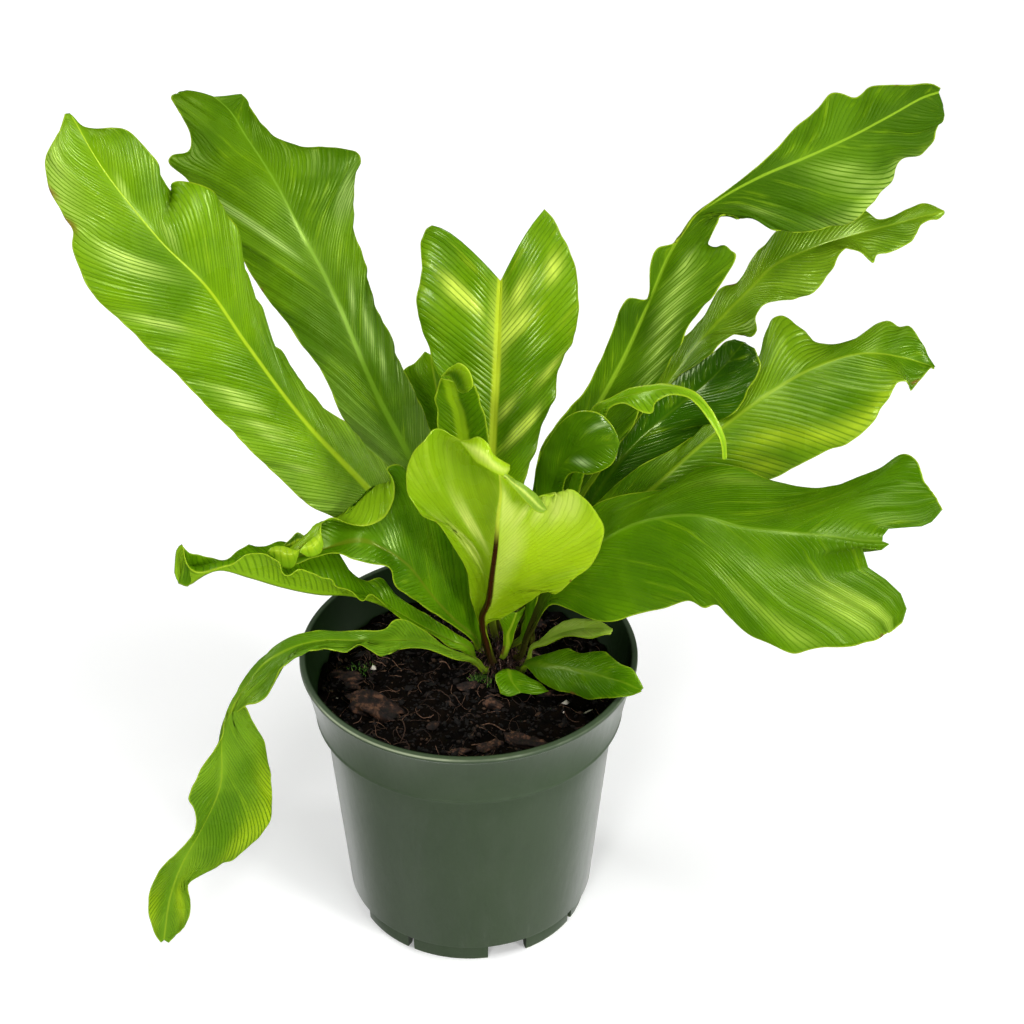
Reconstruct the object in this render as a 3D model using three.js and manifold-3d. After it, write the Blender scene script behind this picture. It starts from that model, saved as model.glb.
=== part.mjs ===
// A bird's nest fern in a round nursery pot, in millimetres, +Z up.
// The origin is on the pot's axis, on the surface that the pot stands on.
import * as THREE from "three";
import { mergeVertices } from "three/addons/utils/BufferGeometryUtils.js";
import Module from "manifold-3d";

const wasm = await Module();
wasm.setup();

// Driving sizes of the pot
const POT_HEIGHT = 142;
const RIM_RADIUS = 78;
const LIP_THICKNESS = 3.2;
const BAND_TOP_RADIUS = 76.8;
const BAND_BOTTOM_RADIUS = 71;
const BAND_BOTTOM = 111;
const RIDGE_PROUD = 0.6;
const BODY_TOP_RADIUS = 67.4;
const BODY_BOTTOM_RADIUS = 58;
const FOOT_RADIUS = 55;
const FOOT_HEIGHT = 9.6;
const FOOT_THICKNESS = 3.4;
const WALL = 1.6;
const FLOOR_UNDERSIDE = 2.4;
const FLOOR_TOP = 4.6;
const CENTRE_PAD_RADIUS = 14;
const NOTCH_WIDTH = 19;
const SLIT_WIDTH = 3.4;
const NOTCH_HEIGHT = 8.4;
const FIRST_NOTCH = 19;
const FIRST_SLIT = -30.5;
const FEET = 4;
const POT_SEGMENTS = 44;

// Driving sizes of the soil and the crown
const SOIL_TOP = 121.5;
const SOIL_GAP = 0.3;
const SOIL_RINGS = 6;
const SOIL_SEGMENTS = 30;
const CHIPS = 13;
const CROWN_CENTRE = new THREE.Vector3(15, 14, 120.5);
const CROWN_RADIUS = 11.5;
const CROWN_HEIGHT = 17;

// Driving sizes of every frond
const BLADE_THICKNESS = 0.9;
const STALK_THICKNESS = 2.2;
const STALK_HALF_WIDTH = 1.6;
const STALK_LIFT = 3;
const STALK_SINK = 0.8;
const SEAT_GAP = 0.75;
const RIB_DEPTH = 0.9;
const TIP_TRIM = 0.012;
const END_START = 0.72;

const radians = THREE.MathUtils.degToRad;
const smoothstep = THREE.MathUtils.smoothstep;

function point([x, y, z]) {
  return new THREE.Vector3(x, y, z);
}

// A seeded draw between 0 and 1.
function seededDraw(seed) {
  let state = seed;
  return () => {
    state = (state * 16807) % 2147483647;
    return state / 2147483647;
  };
}

// Joining and cutting
function toSolid(geometry) {
  const bare = geometry.clone();
  bare.deleteAttribute("normal");
  bare.deleteAttribute("uv");
  const merged = mergeVertices(bare, 1e-4);
  const mesh = new wasm.Mesh({
    numProp: 3,
    vertProperties: new Float32Array(merged.attributes.position.array),
    triVerts: new Uint32Array(merged.index.array),
  });
  return new wasm.Manifold(mesh);
}

function toGeometry(solid) {
  const mesh = solid.getMesh();
  const geometry = new THREE.BufferGeometry();
  geometry.setAttribute("position", new THREE.BufferAttribute(new Float32Array(mesh.vertProperties), 3));
  geometry.setIndex(new THREE.BufferAttribute(new Uint32Array(mesh.triVerts), 1));
  geometry.computeVertexNormals();
  return geometry;
}

// A closed profile of [radius, height] pairs, turned about the vertical axis.
function turned(profile, segments) {
  const outline = profile.map(([radius, height]) => new THREE.Vector2(radius, height));
  return new THREE.LatheGeometry(outline, segments).rotateX(Math.PI / 2);
}

// The pot: rim lip, band with a ridge under it, tapered wall, foot ring and floor in one moulding
function potInnerRadius(height) {
  if (height > BAND_BOTTOM) {
    const rim = RIM_RADIUS - LIP_THICKNESS;
    return THREE.MathUtils.mapLinear(height, BAND_BOTTOM, POT_HEIGHT, BAND_BOTTOM_RADIUS - WALL, rim);
  }
  const outer = THREE.MathUtils.mapLinear(
    height, FOOT_HEIGHT, BAND_BOTTOM, BODY_BOTTOM_RADIUS, BODY_TOP_RADIUS);
  return outer - WALL;
}

function makePot() {
  const footInner = FOOT_RADIUS - FOOT_THICKNESS;
  const profile = [
    [0, 0],
    [CENTRE_PAD_RADIUS, 0],
    [CENTRE_PAD_RADIUS + 1, FLOOR_UNDERSIDE],
    [footInner - 1, FLOOR_UNDERSIDE],
    [footInner, 0],
    [FOOT_RADIUS - 0.6, 0],
    [FOOT_RADIUS, 0.6],
    [FOOT_RADIUS + 0.4, FOOT_HEIGHT - 0.6],
    [BODY_BOTTOM_RADIUS - 0.8, FOOT_HEIGHT],
    [BODY_BOTTOM_RADIUS, FOOT_HEIGHT + 1],
    [BODY_TOP_RADIUS, BAND_BOTTOM - 2],
    [BODY_TOP_RADIUS + 0.8, BAND_BOTTOM - 0.8],
    [BAND_BOTTOM_RADIUS - 0.6, BAND_BOTTOM - 0.4],
    [BAND_BOTTOM_RADIUS + RIDGE_PROUD, BAND_BOTTOM + 0.4],
    [BAND_BOTTOM_RADIUS + RIDGE_PROUD, BAND_BOTTOM + 1.4],
    [BAND_BOTTOM_RADIUS + 0.3, BAND_BOTTOM + 2],
    [BAND_TOP_RADIUS, POT_HEIGHT - 3],
    [RIM_RADIUS, POT_HEIGHT - 2.4],
    [RIM_RADIUS, POT_HEIGHT - 0.6],
    [RIM_RADIUS - 0.6, POT_HEIGHT],
    [RIM_RADIUS - LIP_THICKNESS + 0.6, POT_HEIGHT],
    [RIM_RADIUS - LIP_THICKNESS, POT_HEIGHT - 0.8],
    [BAND_BOTTOM_RADIUS - WALL, BAND_BOTTOM + 2],
    [BODY_TOP_RADIUS - WALL, BAND_BOTTOM - 2.4],
    [BODY_BOTTOM_RADIUS - WALL, FOOT_HEIGHT + 1.6],
    [footInner - 0.2, FOOT_HEIGHT],
    [footInner - 0.6, FLOOR_TOP],
    [0, FLOOR_TOP],
  ];
  let pot = toSolid(turned(profile, POT_SEGMENTS));
  for (let foot = 0; foot < FEET; foot += 1) {
    for (const [width, first] of [[NOTCH_WIDTH, FIRST_NOTCH], [SLIT_WIDTH, FIRST_SLIT]]) {
      const cutter = new THREE.BoxGeometry(width, 12, NOTCH_HEIGHT * 2);
      cutter.translate(0, -(FOOT_RADIUS + 0.5), 0);
      cutter.rotateZ(radians(first + 90 * foot));
      pot = pot.subtract(toSolid(cutter));
    }
  }
  return toGeometry(pot);
}

// The soil: a root ball that follows the pot's inside, with a rough top and bark chips in it
function soilHeight(x, y) {
  const lumps = 1.1 * Math.sin(x * 0.21 + 1.3) * Math.cos(y * 0.19 - 0.4)
    + 0.7 * Math.sin(x * 0.47 - y * 0.33) + 0.5 * Math.cos(x * 0.13 + y * 0.58);
  const toCrown = Math.hypot(x - CROWN_CENTRE.x, y - CROWN_CENTRE.y);
  const mound = 1.2 * Math.exp(-((toCrown / 24) ** 2));
  const flat = smoothstep(toCrown, CROWN_RADIUS + 1, CROWN_RADIUS + 8);
  const dip = 1.6 * smoothstep(Math.hypot(x, y), 52, 72);
  return SOIL_TOP + lumps * flat + mound - dip;
}

function makeSoil() {
  const footInner = FOOT_RADIUS - FOOT_THICKNESS;
  const topRadius = potInnerRadius(SOIL_TOP - 3) - SOIL_GAP - 0.4;
  const sides = [
    [0, FLOOR_TOP + SOIL_GAP],
    [footInner - 1.4, FLOOR_TOP + SOIL_GAP],
    [footInner - 1, FOOT_HEIGHT + 0.6],
    [BODY_BOTTOM_RADIUS - WALL - SOIL_GAP - 0.4, FOOT_HEIGHT + 3],
    [BODY_TOP_RADIUS - WALL - SOIL_GAP - 0.4, BAND_BOTTOM - 2.6],
  ];
  const positions = [];
  const index = [];
  const corner = (ring, segment) => {
    return ring === 0 ? 0 : 1 + (ring - 1) * SOIL_SEGMENTS + (segment % SOIL_SEGMENTS);
  };
  positions.push(0, 0, soilHeight(0, 0));
  for (let ring = 1; ring <= SOIL_RINGS; ring += 1) {
    for (let segment = 0; segment < SOIL_SEGMENTS; segment += 1) {
      const angle = (2 * Math.PI * segment) / SOIL_SEGMENTS;
      const radius = (topRadius * ring) / SOIL_RINGS;
      const x = radius * Math.cos(angle);
      const y = radius * Math.sin(angle);
      positions.push(x, y, soilHeight(x, y));
    }
  }
  const sideRings = sides.slice(1).reverse();
  sideRings.forEach(([radius, height]) => {
    for (let segment = 0; segment < SOIL_SEGMENTS; segment += 1) {
      const angle = (2 * Math.PI * segment) / SOIL_SEGMENTS;
      positions.push(radius * Math.cos(angle), radius * Math.sin(angle), height);
    }
  });
  const rings = SOIL_RINGS + sideRings.length;
  for (let segment = 0; segment < SOIL_SEGMENTS; segment += 1) {
    index.push(0, corner(1, segment), corner(1, segment + 1));
    for (let ring = 1; ring < rings; ring += 1) {
      const a = corner(ring, segment);
      const b = corner(ring + 1, segment);
      const c = corner(ring + 1, segment + 1);
      const d = corner(ring, segment + 1);
      index.push(a, b, c, a, c, d);
    }
  }
  const bottom = positions.length / 3;
  positions.push(0, 0, FLOOR_TOP + SOIL_GAP);
  for (let segment = 0; segment < SOIL_SEGMENTS; segment += 1) {
    index.push(bottom, corner(rings, segment + 1), corner(rings, segment));
  }
  const ball = new THREE.BufferGeometry();
  ball.setAttribute("position", new THREE.Float32BufferAttribute(positions, 3));
  ball.setIndex(index);
  let soil = toSolid(ball);
  const draw = seededDraw(71);
  for (let chip = 0; chip < CHIPS; chip += 1) {
    const angle = 2 * Math.PI * draw();
    const radius = 20 + 44 * Math.sqrt(draw());
    const x = radius * Math.cos(angle);
    const y = radius * Math.sin(angle);
    const size = 5 + 6 * draw();
    const bark = new THREE.CylinderGeometry(size * 0.5, size * 0.62, 2.6, 5);
    bark.rotateX(Math.PI / 2 + 0.35 * (draw() - 0.5));
    bark.scale(1.5, 0.8, 1);
    bark.rotateZ(Math.PI * draw());
    bark.translate(x, y, soilHeight(x, y) + 0.2);
    const nearCrown = Math.hypot(x - CROWN_CENTRE.x, y - CROWN_CENTRE.y) < CROWN_RADIUS + 9;
    if (!nearCrown) {
      soil = soil.add(toSolid(bark));
    }
  }
  const socket = new THREE.CylinderGeometry(CROWN_RADIUS + 0.6, CROWN_RADIUS + 0.6, 16, 20);
  socket.rotateX(Math.PI / 2);
  socket.translate(CROWN_CENTRE.x, CROWN_CENTRE.y, CROWN_CENTRE.z + 2);
  return toGeometry(soil.subtract(toSolid(socket)));
}

// The crown: a short upright rhizome with rows of low scales, standing in its hole in the soil
function makeCrown() {
  const sides = 20;
  const levels = 7;
  const foot = CROWN_CENTRE.z - 5.7;
  const positions = [0, 0, CROWN_HEIGHT + CROWN_CENTRE.z];
  const index = [];
  for (let level = 1; level <= levels; level += 1) {
    const rise = (Math.PI / 2) * (1 - level / levels);
    for (let side = 0; side < sides; side += 1) {
      const angle = (2 * Math.PI * (side + 0.5 * (level % 2))) / sides;
      const scale = side % 2 === level % 2 ? 0.4 : -0.4;
      const radius = (CROWN_RADIUS + scale - 0.3) * Math.cos(rise);
      const height = CROWN_CENTRE.z + (CROWN_HEIGHT + scale) * Math.sin(rise);
      positions.push(radius * Math.cos(angle), radius * Math.sin(angle), height);
    }
  }
  for (let side = 0; side < sides; side += 1) {
    const angle = (2 * Math.PI * (side + 0.5 * (levels % 2))) / sides;
    positions.push((CROWN_RADIUS - 1) * Math.cos(angle), (CROWN_RADIUS - 1) * Math.sin(angle), foot);
  }
  positions.push(0, 0, foot);
  const corner = (level, side) => 1 + (level - 1) * sides + (side % sides);
  for (let side = 0; side < sides; side += 1) {
    index.push(0, corner(1, side), corner(1, side + 1));
    for (let level = 1; level <= levels; level += 1) {
      const a = corner(level, side);
      const b = corner(level + 1, side);
      const c = corner(level + 1, side + 1);
      const d = corner(level, side + 1);
      index.push(a, b, c, a, c, d);
    }
    index.push(positions.length / 3 - 1, corner(levels + 1, side + 1), corner(levels + 1, side));
  }
  const crown = new THREE.BufferGeometry();
  crown.setAttribute("position", new THREE.Float32BufferAttribute(positions, 3));
  crown.setIndex(index);
  return crown.translate(CROWN_CENTRE.x, CROWN_CENTRE.y, 0);
}

// The room kept free round the crown's dome, which the ends of the stalks are cut to.
function makeClearance() {
  const dome = new THREE.SphereGeometry(1, 20, 10).rotateX(Math.PI / 2);
  const radius = CROWN_RADIUS + SEAT_GAP;
  dome.scale(radius, radius, CROWN_HEIGHT + SEAT_GAP + 0.4);
  dome.translate(CROWN_CENTRE.x, CROWN_CENTRE.y, CROWN_CENTRE.z);
  return toSolid(dome);
}

// A place just inside the crown's dome, where a stalk starts, and the way out from it.
function seatOnCrown([azimuth, elevation]) {
  const size = new THREE.Vector3(CROWN_RADIUS, CROWN_RADIUS, CROWN_HEIGHT);
  const unit = new THREE.Vector3(
    Math.cos(radians(elevation)) * Math.cos(radians(azimuth)),
    Math.cos(radians(elevation)) * Math.sin(radians(azimuth)),
    Math.sin(radians(elevation)),
  );
  const out = unit.clone().divide(size).normalize();
  const place = unit.multiply(size).add(CROWN_CENTRE).addScaledVector(out, -STALK_SINK);
  return { out, place };
}

// A frond is set out by its midrib and its two margins, from stalk to tip. The margins are named
// as seen along the midrib with the upper face up. A fold is a line along the blade where it
// turns over, between midrib and margin. An end is the outline from the midrib's end to the margin.
function frondCurves(frond) {
  const seat = seatOnCrown(frond.seat);
  const across = point(frond.right[0]).sub(point(frond.left[0])).projectOnPlane(seat.out).normalize();
  const start = (side) => seat.place.clone().addScaledVector(across, side * STALK_HALF_WIDTH);
  const from = (side, points) => {
    const lifted = start(side).addScaledVector(seat.out, STALK_LIFT);
    const curve = new THREE.CatmullRomCurve3([start(side), lifted, ...points.map(point)]);
    curve.arcLengthDivisions = 240;
    return curve;
  };
  return {
    rib: from(0, frond.rib),
    left: from(-1, frond.left),
    right: from(1, frond.right),
    leftFold: frond.leftFold && from(-0.5, frond.leftFold),
    rightFold: frond.rightFold && from(0.5, frond.rightFold),
    leftEnd: frond.leftEnd && new THREE.CatmullRomCurve3([frond.rib.at(-1), ...frond.leftEnd].map(point)),
    rightEnd: frond.rightEnd && new THREE.CatmullRomCurve3([frond.rib.at(-1), ...frond.rightEnd].map(point)),
  };
}

// A point of the blade's middle surface: across runs from -1 at the left margin to 1 at the right.
function bladePoint(frond, curves, across, along) {
  const side = across < 0 ? "left" : "right";
  const share = Math.abs(across);
  const rib = curves.rib.getPointAt(along);
  const margin = curves[side].getPointAt(along);
  const fold = curves[side + "Fold"];
  const place = fold
    ? new THREE.CatmullRomCurve3([rib, fold.getPointAt(along), margin]).getPoint(share)
    : rib.clone().lerp(margin, share);
  const left = curves.left.getPointAt(along);
  const right = curves.right.getPointAt(along);
  const face = right.sub(left).cross(curves.rib.getTangentAt(along)).normalize();
  const width = rib.distanceTo(margin);
  const arch = (frond.arch ?? 0.08) * width * 4 * share * (1 - share);
  const [depth, waves, phase] = frond[side + "Ruffle"] ?? [0, 0, 0];
  const fade = Math.sin(Math.PI * Math.min(1, along * 1.02)) ** 0.5;
  const ruffle = depth * share ** 2 * fade * Math.sin(2 * Math.PI * waves * along + phase);
  place.addScaledVector(face, arch + ruffle);
  const end = curves[side + "End"];
  if (end && along > END_START) {
    const straight = curves.rib.getPointAt(1).lerp(curves[side].getPointAt(1), share);
    const weight = smoothstep(along, END_START, 1);
    place.addScaledVector(end.getPointAt(share).sub(straight), weight);
  }
  return place;
}

function columnsOf(frond) {
  const half = frond.fine ? [0.09, 0.36, 0.68, 1] : [0.12, 0.55, 1];
  return [...half.map((share) => -share).reverse(), 0, ...half];
}

function makeFrond(frond) {
  const curves = frondCurves(frond);
  const columns = columnsOf(frond);
  const rows = frond.rows;
  const middle = [];
  for (let row = 0; row <= rows; row += 1) {
    const along = (row / rows) * (1 - TIP_TRIM);
    columns.forEach((across) => middle.push(bladePoint(frond, curves, across, along)));
  }
  const width = columns.length;
  const triangles = [];
  for (let row = 0; row < rows; row += 1) {
    for (let column = 0; column < width - 1; column += 1) {
      const a = row * width + column;
      const b = a + 1;
      const c = b + width;
      const d = a + width;
      if (columns[column] < 0) {
        triangles.push([a, b, c], [a, c, d]);
      } else {
        triangles.push([a, b, d], [b, c, d]);
      }
    }
  }
  const normals = middle.map(() => new THREE.Vector3());
  triangles.forEach(([a, b, c]) => {
    const side = middle[b].clone().sub(middle[a]);
    const normal = side.cross(middle[c].clone().sub(middle[a]));
    [a, b, c].forEach((corner) => normals[corner].add(normal));
  });
  const positions = [];
  const halfThickness = (row) => {
    const stalk = 1 - smoothstep(row / rows, 0.02, 0.16);
    return THREE.MathUtils.lerp(BLADE_THICKNESS, STALK_THICKNESS, stalk) / 2;
  };
  [1, -1].forEach((face) => {
    middle.forEach((place, corner) => {
      const row = Math.floor(corner / width);
      const ribShare = columns[corner % width] === 0 && face < 0 ? 1 - row / rows : 0;
      const offset = face * halfThickness(row) - RIB_DEPTH * ribShare;
      const moved = place.clone().addScaledVector(normals[corner].normalize(), offset);
      positions.push(moved.x, moved.y, moved.z);
    });
  });
  const under = middle.length;
  const index = [];
  triangles.forEach(([a, b, c]) => {
    index.push(a, b, c, under + a, under + c, under + b);
  });
  const rim = [];
  for (let column = 0; column < width; column += 1) rim.push(column);
  for (let row = 1; row <= rows; row += 1) rim.push(row * width + width - 1);
  for (let column = width - 2; column >= 0; column -= 1) rim.push(rows * width + column);
  for (let row = rows - 1; row >= 1; row -= 1) rim.push(row * width);
  rim.forEach((corner, place) => {
    const next = rim[(place + 1) % rim.length];
    index.push(corner, under + corner, next, next, under + corner, under + next);
  });
  const geometry = new THREE.BufferGeometry();
  geometry.setAttribute("position", new THREE.Float32BufferAttribute(positions, 3));
  geometry.setIndex(index);
  return toGeometry(toSolid(geometry).subtract(clearance));
}

// The fronds, from the left round the back to the right and the front
const FRONDS = [
  {
    name: "frond_left_front_tall",
    seat: [164, 54],
    fine: true,
    rows: 19,
    rib: [
      [0, 20, 156], [-13, 21, 174], [-44, 16, 221], [-72, 8, 265], [-94, 1, 308], [-109, -3, 339],
      [-127, -5, 363], [-147, -5, 395], [-160, -1, 420],
    ],
    left: [
      [-3, 17, 155], [-23, 10, 180], [-43, 6, 202], [-60, 2, 216], [-71, -2, 227], [-96, -13, 266],
      [-120, -21, 304], [-138, -26, 328], [-150, -28, 347], [-160, -27, 367], [-162, -24, 386],
      [-169, -17, 401], [-166, -9, 413], [-161, -3, 421],
    ],
    right: [
      [3, 22, 159], [-6, 26, 177], [-39, 30, 228], [-53, 30, 245], [-73, 29, 270], [-86, 27, 297],
      [-93, 24, 326], [-99, 19, 359], [-107, 14, 377], [-114, 11, 382], [-120, 8, 376], [-124, 8, 385],
      [-137, 7, 404], [-154, 3, 411], [-160, 0, 419],
    ],
  },
  {
    name: "frond_left_back_tall",
    seat: [146, 36],
    fine: true,
    rows: 19,
    rib: [
      [2, 30, 155], [-11, 38, 184], [-26, 43, 219], [-42, 50, 252], [-60, 60, 298], [-71, 63, 322],
      [-90, 73, 356], [-107, 79, 375], [-121, 84, 385],
    ],
    left: [
      [0, 29, 155], [-17, 36, 181], [-35, 39, 205], [-54, 43, 237], [-67, 47, 267], [-87, 51, 298],
      [-115, 58, 346], [-125, 61, 358], [-129, 63, 364], [-121, 67, 370], [-121, 71, 379],
      [-127, 77, 385], [-125, 82, 388],
    ],
    right: [
      [4, 31, 155], [-3, 41, 188], [-13, 49, 220], [-26, 60, 249], [-42, 70, 288], [-49, 78, 315],
      [-52, 81, 325], [-50, 86, 342], [-47, 90, 350],
    ],
    rightEnd: [[-110, 85, 383], [-98, 87, 385], [-86, 87, 364], [-78, 88, 358], [-63, 89, 355], [-47, 90, 350]],
  },
  {
    name: "frond_centre_forked",
    seat: [96, 44],
    fine: true,
    rows: 16,
    rib: [[11, 18, 160], [10, 20, 202], [11, 28, 235], [13, 40, 270], [14, 48, 291], [15, 54, 308]],
    left: [
      [9, 18, 160], [4, 19, 200], [-4, 26, 236], [-11, 35, 265], [-17, 40, 281], [-21, 44, 293],
      [-22, 47, 305], [-20, 51, 315], [-20, 55, 327], [-15, 59, 334],
    ],
    right: [
      [13, 19, 160], [18, 19, 196], [25, 26, 218], [33, 34, 240], [38, 39, 254], [42, 43, 271],
      [48, 46, 284], [49, 49, 298], [49, 53, 312], [45, 56, 323], [38, 60, 336], [34, 62, 340],
    ],
    leftEnd: [[8, 55, 317], [0, 57, 325], [-9, 58, 331], [-15, 59, 334]],
    rightEnd: [[19, 56, 317], [23, 58, 325], [28, 60, 333], [34, 62, 340]],
  },
  {
    name: "frond_back_dark",
    seat: [122, 24],
    rows: 12,
    rib: [[6, 37, 148], [-1, 50, 181], [-9, 62, 206], [-14, 72, 233], [-18, 79, 254]],
    left: [
      [4, 37, 147], [-9, 52, 180], [-21, 64, 207], [-29, 72, 233], [-31, 76, 246], [-25, 77, 250],
      [-20, 78, 256],
    ],
    right: [[8, 37, 149], [4, 49, 176], [-1, 60, 203], [-7, 71, 228], [-12, 76, 243], [-17, 80, 253]],
  },
  {
    name: "frond_centre_curled",
    seat: [150, 76],
    rows: 18,
    rib: [
      [9, 14, 166], [6, 14, 195], [3, 15, 227], [-1, 17, 249], [-4, 17, 269], [-7, 15, 281],
      [-5, 9, 290], [-1, 4, 293], [2, 2, 289], [0, 4, 283],
    ],
    left: [
      [7, 13, 166], [1, 12, 198], [-6, 13, 230], [-13, 14, 256], [-13, 14, 271], [-11, 12, 283],
      [-7, 6, 294], [-2, 0, 300], [3, -2, 294], [3, 0, 285],
    ],
    right: [
      [11, 14, 166], [10, 14, 195], [10, 16, 227], [9, 18, 253], [5, 19, 268], [-1, 18, 274],
      [-4, 13, 282], [-3, 9, 287], [-1, 7, 285], [-3, 8, 281],
    ],
  },
  {
    name: "frond_front_young",
    seat: [250, 42],
    fine: true,
    rows: 16,
    rib: [
      [6, 2, 159], [9, -4, 173], [11, -13, 196], [13, -22, 220], [13, -28, 239], [14, -32, 255],
      [12, -31, 265], [9, -25, 268], [6, -20, 272],
    ],
    left: [
      [8, 2, 158], [15, -1, 162], [28, -10, 178], [35, -18, 190], [40, -22, 192], [47, -27, 203],
      [55, -30, 214], [59, -32, 225], [60, -31, 233], [57, -30, 242], [51, -28, 248], [45, -26, 252],
      [38, -25, 247], [34, -28, 243], [28, -25, 249], [19, -22, 256], [14, -18, 263], [8, -18, 271],
    ],
    right: [
      [4, 2, 160], [2, -4, 175], [0, -12, 196], [-3, -18, 209], [-8, -23, 222], [-13, -27, 234],
      [-19, -29, 239], [-24, -30, 250], [-25, -29, 259], [-23, -27, 269], [-17, -25, 277], [-12, -24, 281],
      [-7, -23, 278], [-1, -22, 273], [5, -20, 273],
    ],
  },
  {
    name: "frond_left_ruffled",
    seat: [188, 44],
    fine: true,
    rows: 20,
    rib: [
      [3, 8, 144], [-6, 2, 158], [-17, -4, 178], [-27, -9, 198], [-38, -12, 209], [-47, -15, 218],
      [-62, -18, 217], [-76, -24, 214], [-84, -26, 213],
    ],
    left: [
      [1, 6, 144], [-13, -4, 165], [-25, -12, 181], [-32, -16, 192], [-35, -19, 204], [-42, -21, 207],
      [-50, -23, 211], [-57, -24, 215], [-66, -26, 215], [-75, -28, 212], [-82, -26, 210],
    ],
    rightFold: [
      [4, 9, 144], [0, 9, 159], [-9, 6, 178], [-19, 5, 199], [-28, 5, 218], [-35, 5, 230],
      [-42, 5, 232], [-50, 1, 225], [-57, -3, 220], [-64, -8, 220], [-73, -14, 216], [-80, -21, 214],
      [-85, -25, 214],
    ],
    right: [
      [5, 10, 144], [3, 14, 161], [-2, 14, 183], [-9, 13, 204], [-17, 11, 224], [-25, 9, 236],
      [-32, 6, 242], [-36, 2, 242], [-33, -3, 239], [-32, -6, 233], [-34, -9, 227], [-38, -10, 223],
      [-45, -12, 221], [-52, -13, 223], [-57, -15, 227], [-62, -16, 225], [-62, -20, 220],
      [-66, -23, 216], [-71, -22, 216], [-74, -25, 211], [-78, -27, 210], [-83, -27, 213],
      [-86, -26, 217],
    ],
  },
  {
    name: "frond_left_low",
    seat: [205, 24],
    fine: true,
    rows: 18,
    rib: [
      [-1, 3, 142], [-8, 1, 147], [-16, -2, 154], [-29, -8, 168], [-39, -14, 178], [-52, -21, 186],
      [-65, -27, 191], [-80, -34, 202], [-94, -40, 215], [-106, -44, 221], [-115, -47, 218],
      [-121, -50, 216], [-124, -52, 221],
    ],
    left: [
      [-3, 1, 141], [-9, -2, 146], [-17, -5, 156], [-28, -11, 167], [-39, -18, 179], [-47, -25, 189],
      [-52, -31, 199], [-58, -38, 212], [-70, -46, 220], [-77, -48, 223], [-81, -48, 231], [-90, -50, 234],
      [-97, -52, 231], [-108, -56, 229], [-115, -57, 230], [-119, -55, 234], [-121, -52, 240],
    ],
    right: [
      [1, 6, 142], [-6, 4, 149], [-16, 1, 160], [-26, -3, 171], [-31, -5, 177], [-35, -6, 183],
      [-40, -6, 188], [-46, -8, 188], [-51, -8, 192], [-58, -7, 203], [-67, -7, 208], [-76, -7, 208],
      [-85, -11, 212], [-92, -17, 215], [-98, -27, 220], [-105, -38, 222], [-111, -44, 228],
      [-120, -50, 239],
    ],
  },
  {
    name: "frond_left_drooping",
    seat: [234, 22],
    rows: 22,
    rib: [
      [3, 1, 136], [-6, -5, 144], [-20, -14, 158], [-32, -24, 167], [-49, -34, 174], [-64, -42, 180],
      [-77, -47, 180], [-89, -53, 176], [-97, -57, 166], [-106, -60, 152], [-109, -62, 143],
      [-111, -64, 116], [-121, -67, 92], [-130, -71, 75], [-136, -75, 59], [-140, -81, 37],
    ],
    left: [
      [2, 0, 135], [-6, -9, 144], [-20, -20, 159], [-32, -30, 166], [-39, -37, 168], [-48, -41, 175],
      [-64, -48, 180], [-81, -59, 179], [-84, -62, 172], [-90, -64, 164], [-97, -62, 160], [-105, -58, 150],
      [-96, -56, 142], [-91, -54, 123], [-88, -54, 102], [-88, -56, 93], [-93, -59, 85], [-100, -62, 78],
      [-109, -66, 71], [-123, -70, 67], [-128, -72, 63], [-127, -73, 54], [-129, -76, 44], [-138, -81, 35],
    ],
    right: [
      [4, 2, 136], [-6, -3, 144], [-12, -8, 152], [-19, -16, 166], [-28, -22, 177], [-33, -27, 180],
      [-37, -29, 177], [-49, -31, 178], [-71, -38, 182], [-80, -41, 181], [-89, -46, 176], [-96, -50, 169],
      [-102, -53, 161], [-107, -60, 152], [-108, -67, 147], [-115, -71, 136], [-124, -72, 116],
      [-122, -72, 105], [-123, -72, 95], [-133, -73, 82], [-141, -74, 72], [-146, -78, 56], [-144, -81, 42],
      [-141, -82, 36],
    ],
  },
  {
    name: "frond_right_tall",
    seat: [72, 38],
    rows: 21,
    rib: [
      [26, 23, 154], [42, 31, 217], [55, 36, 246], [71, 42, 278], [83, 53, 304], [91, 60, 321],
      [100, 66, 333], [112, 70, 341], [129, 76, 348], [151, 84, 354], [171, 92, 360], [188, 98, 367],
      [202, 103, 373], [210, 105, 375],
    ],
    left: [
      [25, 24, 155], [30, 29, 216], [34, 31, 237], [42, 32, 249], [54, 36, 265], [64, 43, 286],
      [71, 49, 302], [80, 50, 301], [81, 55, 315], [84, 58, 322], [93, 61, 324], [102, 66, 335],
      [124, 75, 350], [136, 82, 358], [145, 89, 366], [155, 94, 372], [161, 99, 377], [172, 100, 375],
      [179, 103, 379], [194, 105, 378], [206, 107, 378], [211, 106, 376],
    ],
    right: [
      [28, 22, 155], [49, 32, 205], [69, 37, 234], [88, 41, 269], [99, 41, 293], [106, 45, 302],
      [115, 50, 312], [118, 54, 320], [107, 60, 323], [110, 62, 330], [118, 66, 334], [135, 70, 326],
      [145, 73, 322], [159, 78, 320], [170, 83, 320], [181, 89, 327], [190, 95, 334], [194, 98, 343],
      [204, 101, 347], [209, 103, 354], [213, 105, 362], [212, 106, 368],
    ],
  },
  {
    name: "frond_right_back",
    seat: [45, 24],
    rows: 18,
    rib: [
      [28, 31, 152], [51, 40, 199], [79, 58, 231], [106, 76, 262], [129, 90, 282], [140, 96, 291],
      [160, 104, 296], [177, 111, 298], [195, 117, 300], [218, 124, 303],
    ],
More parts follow.
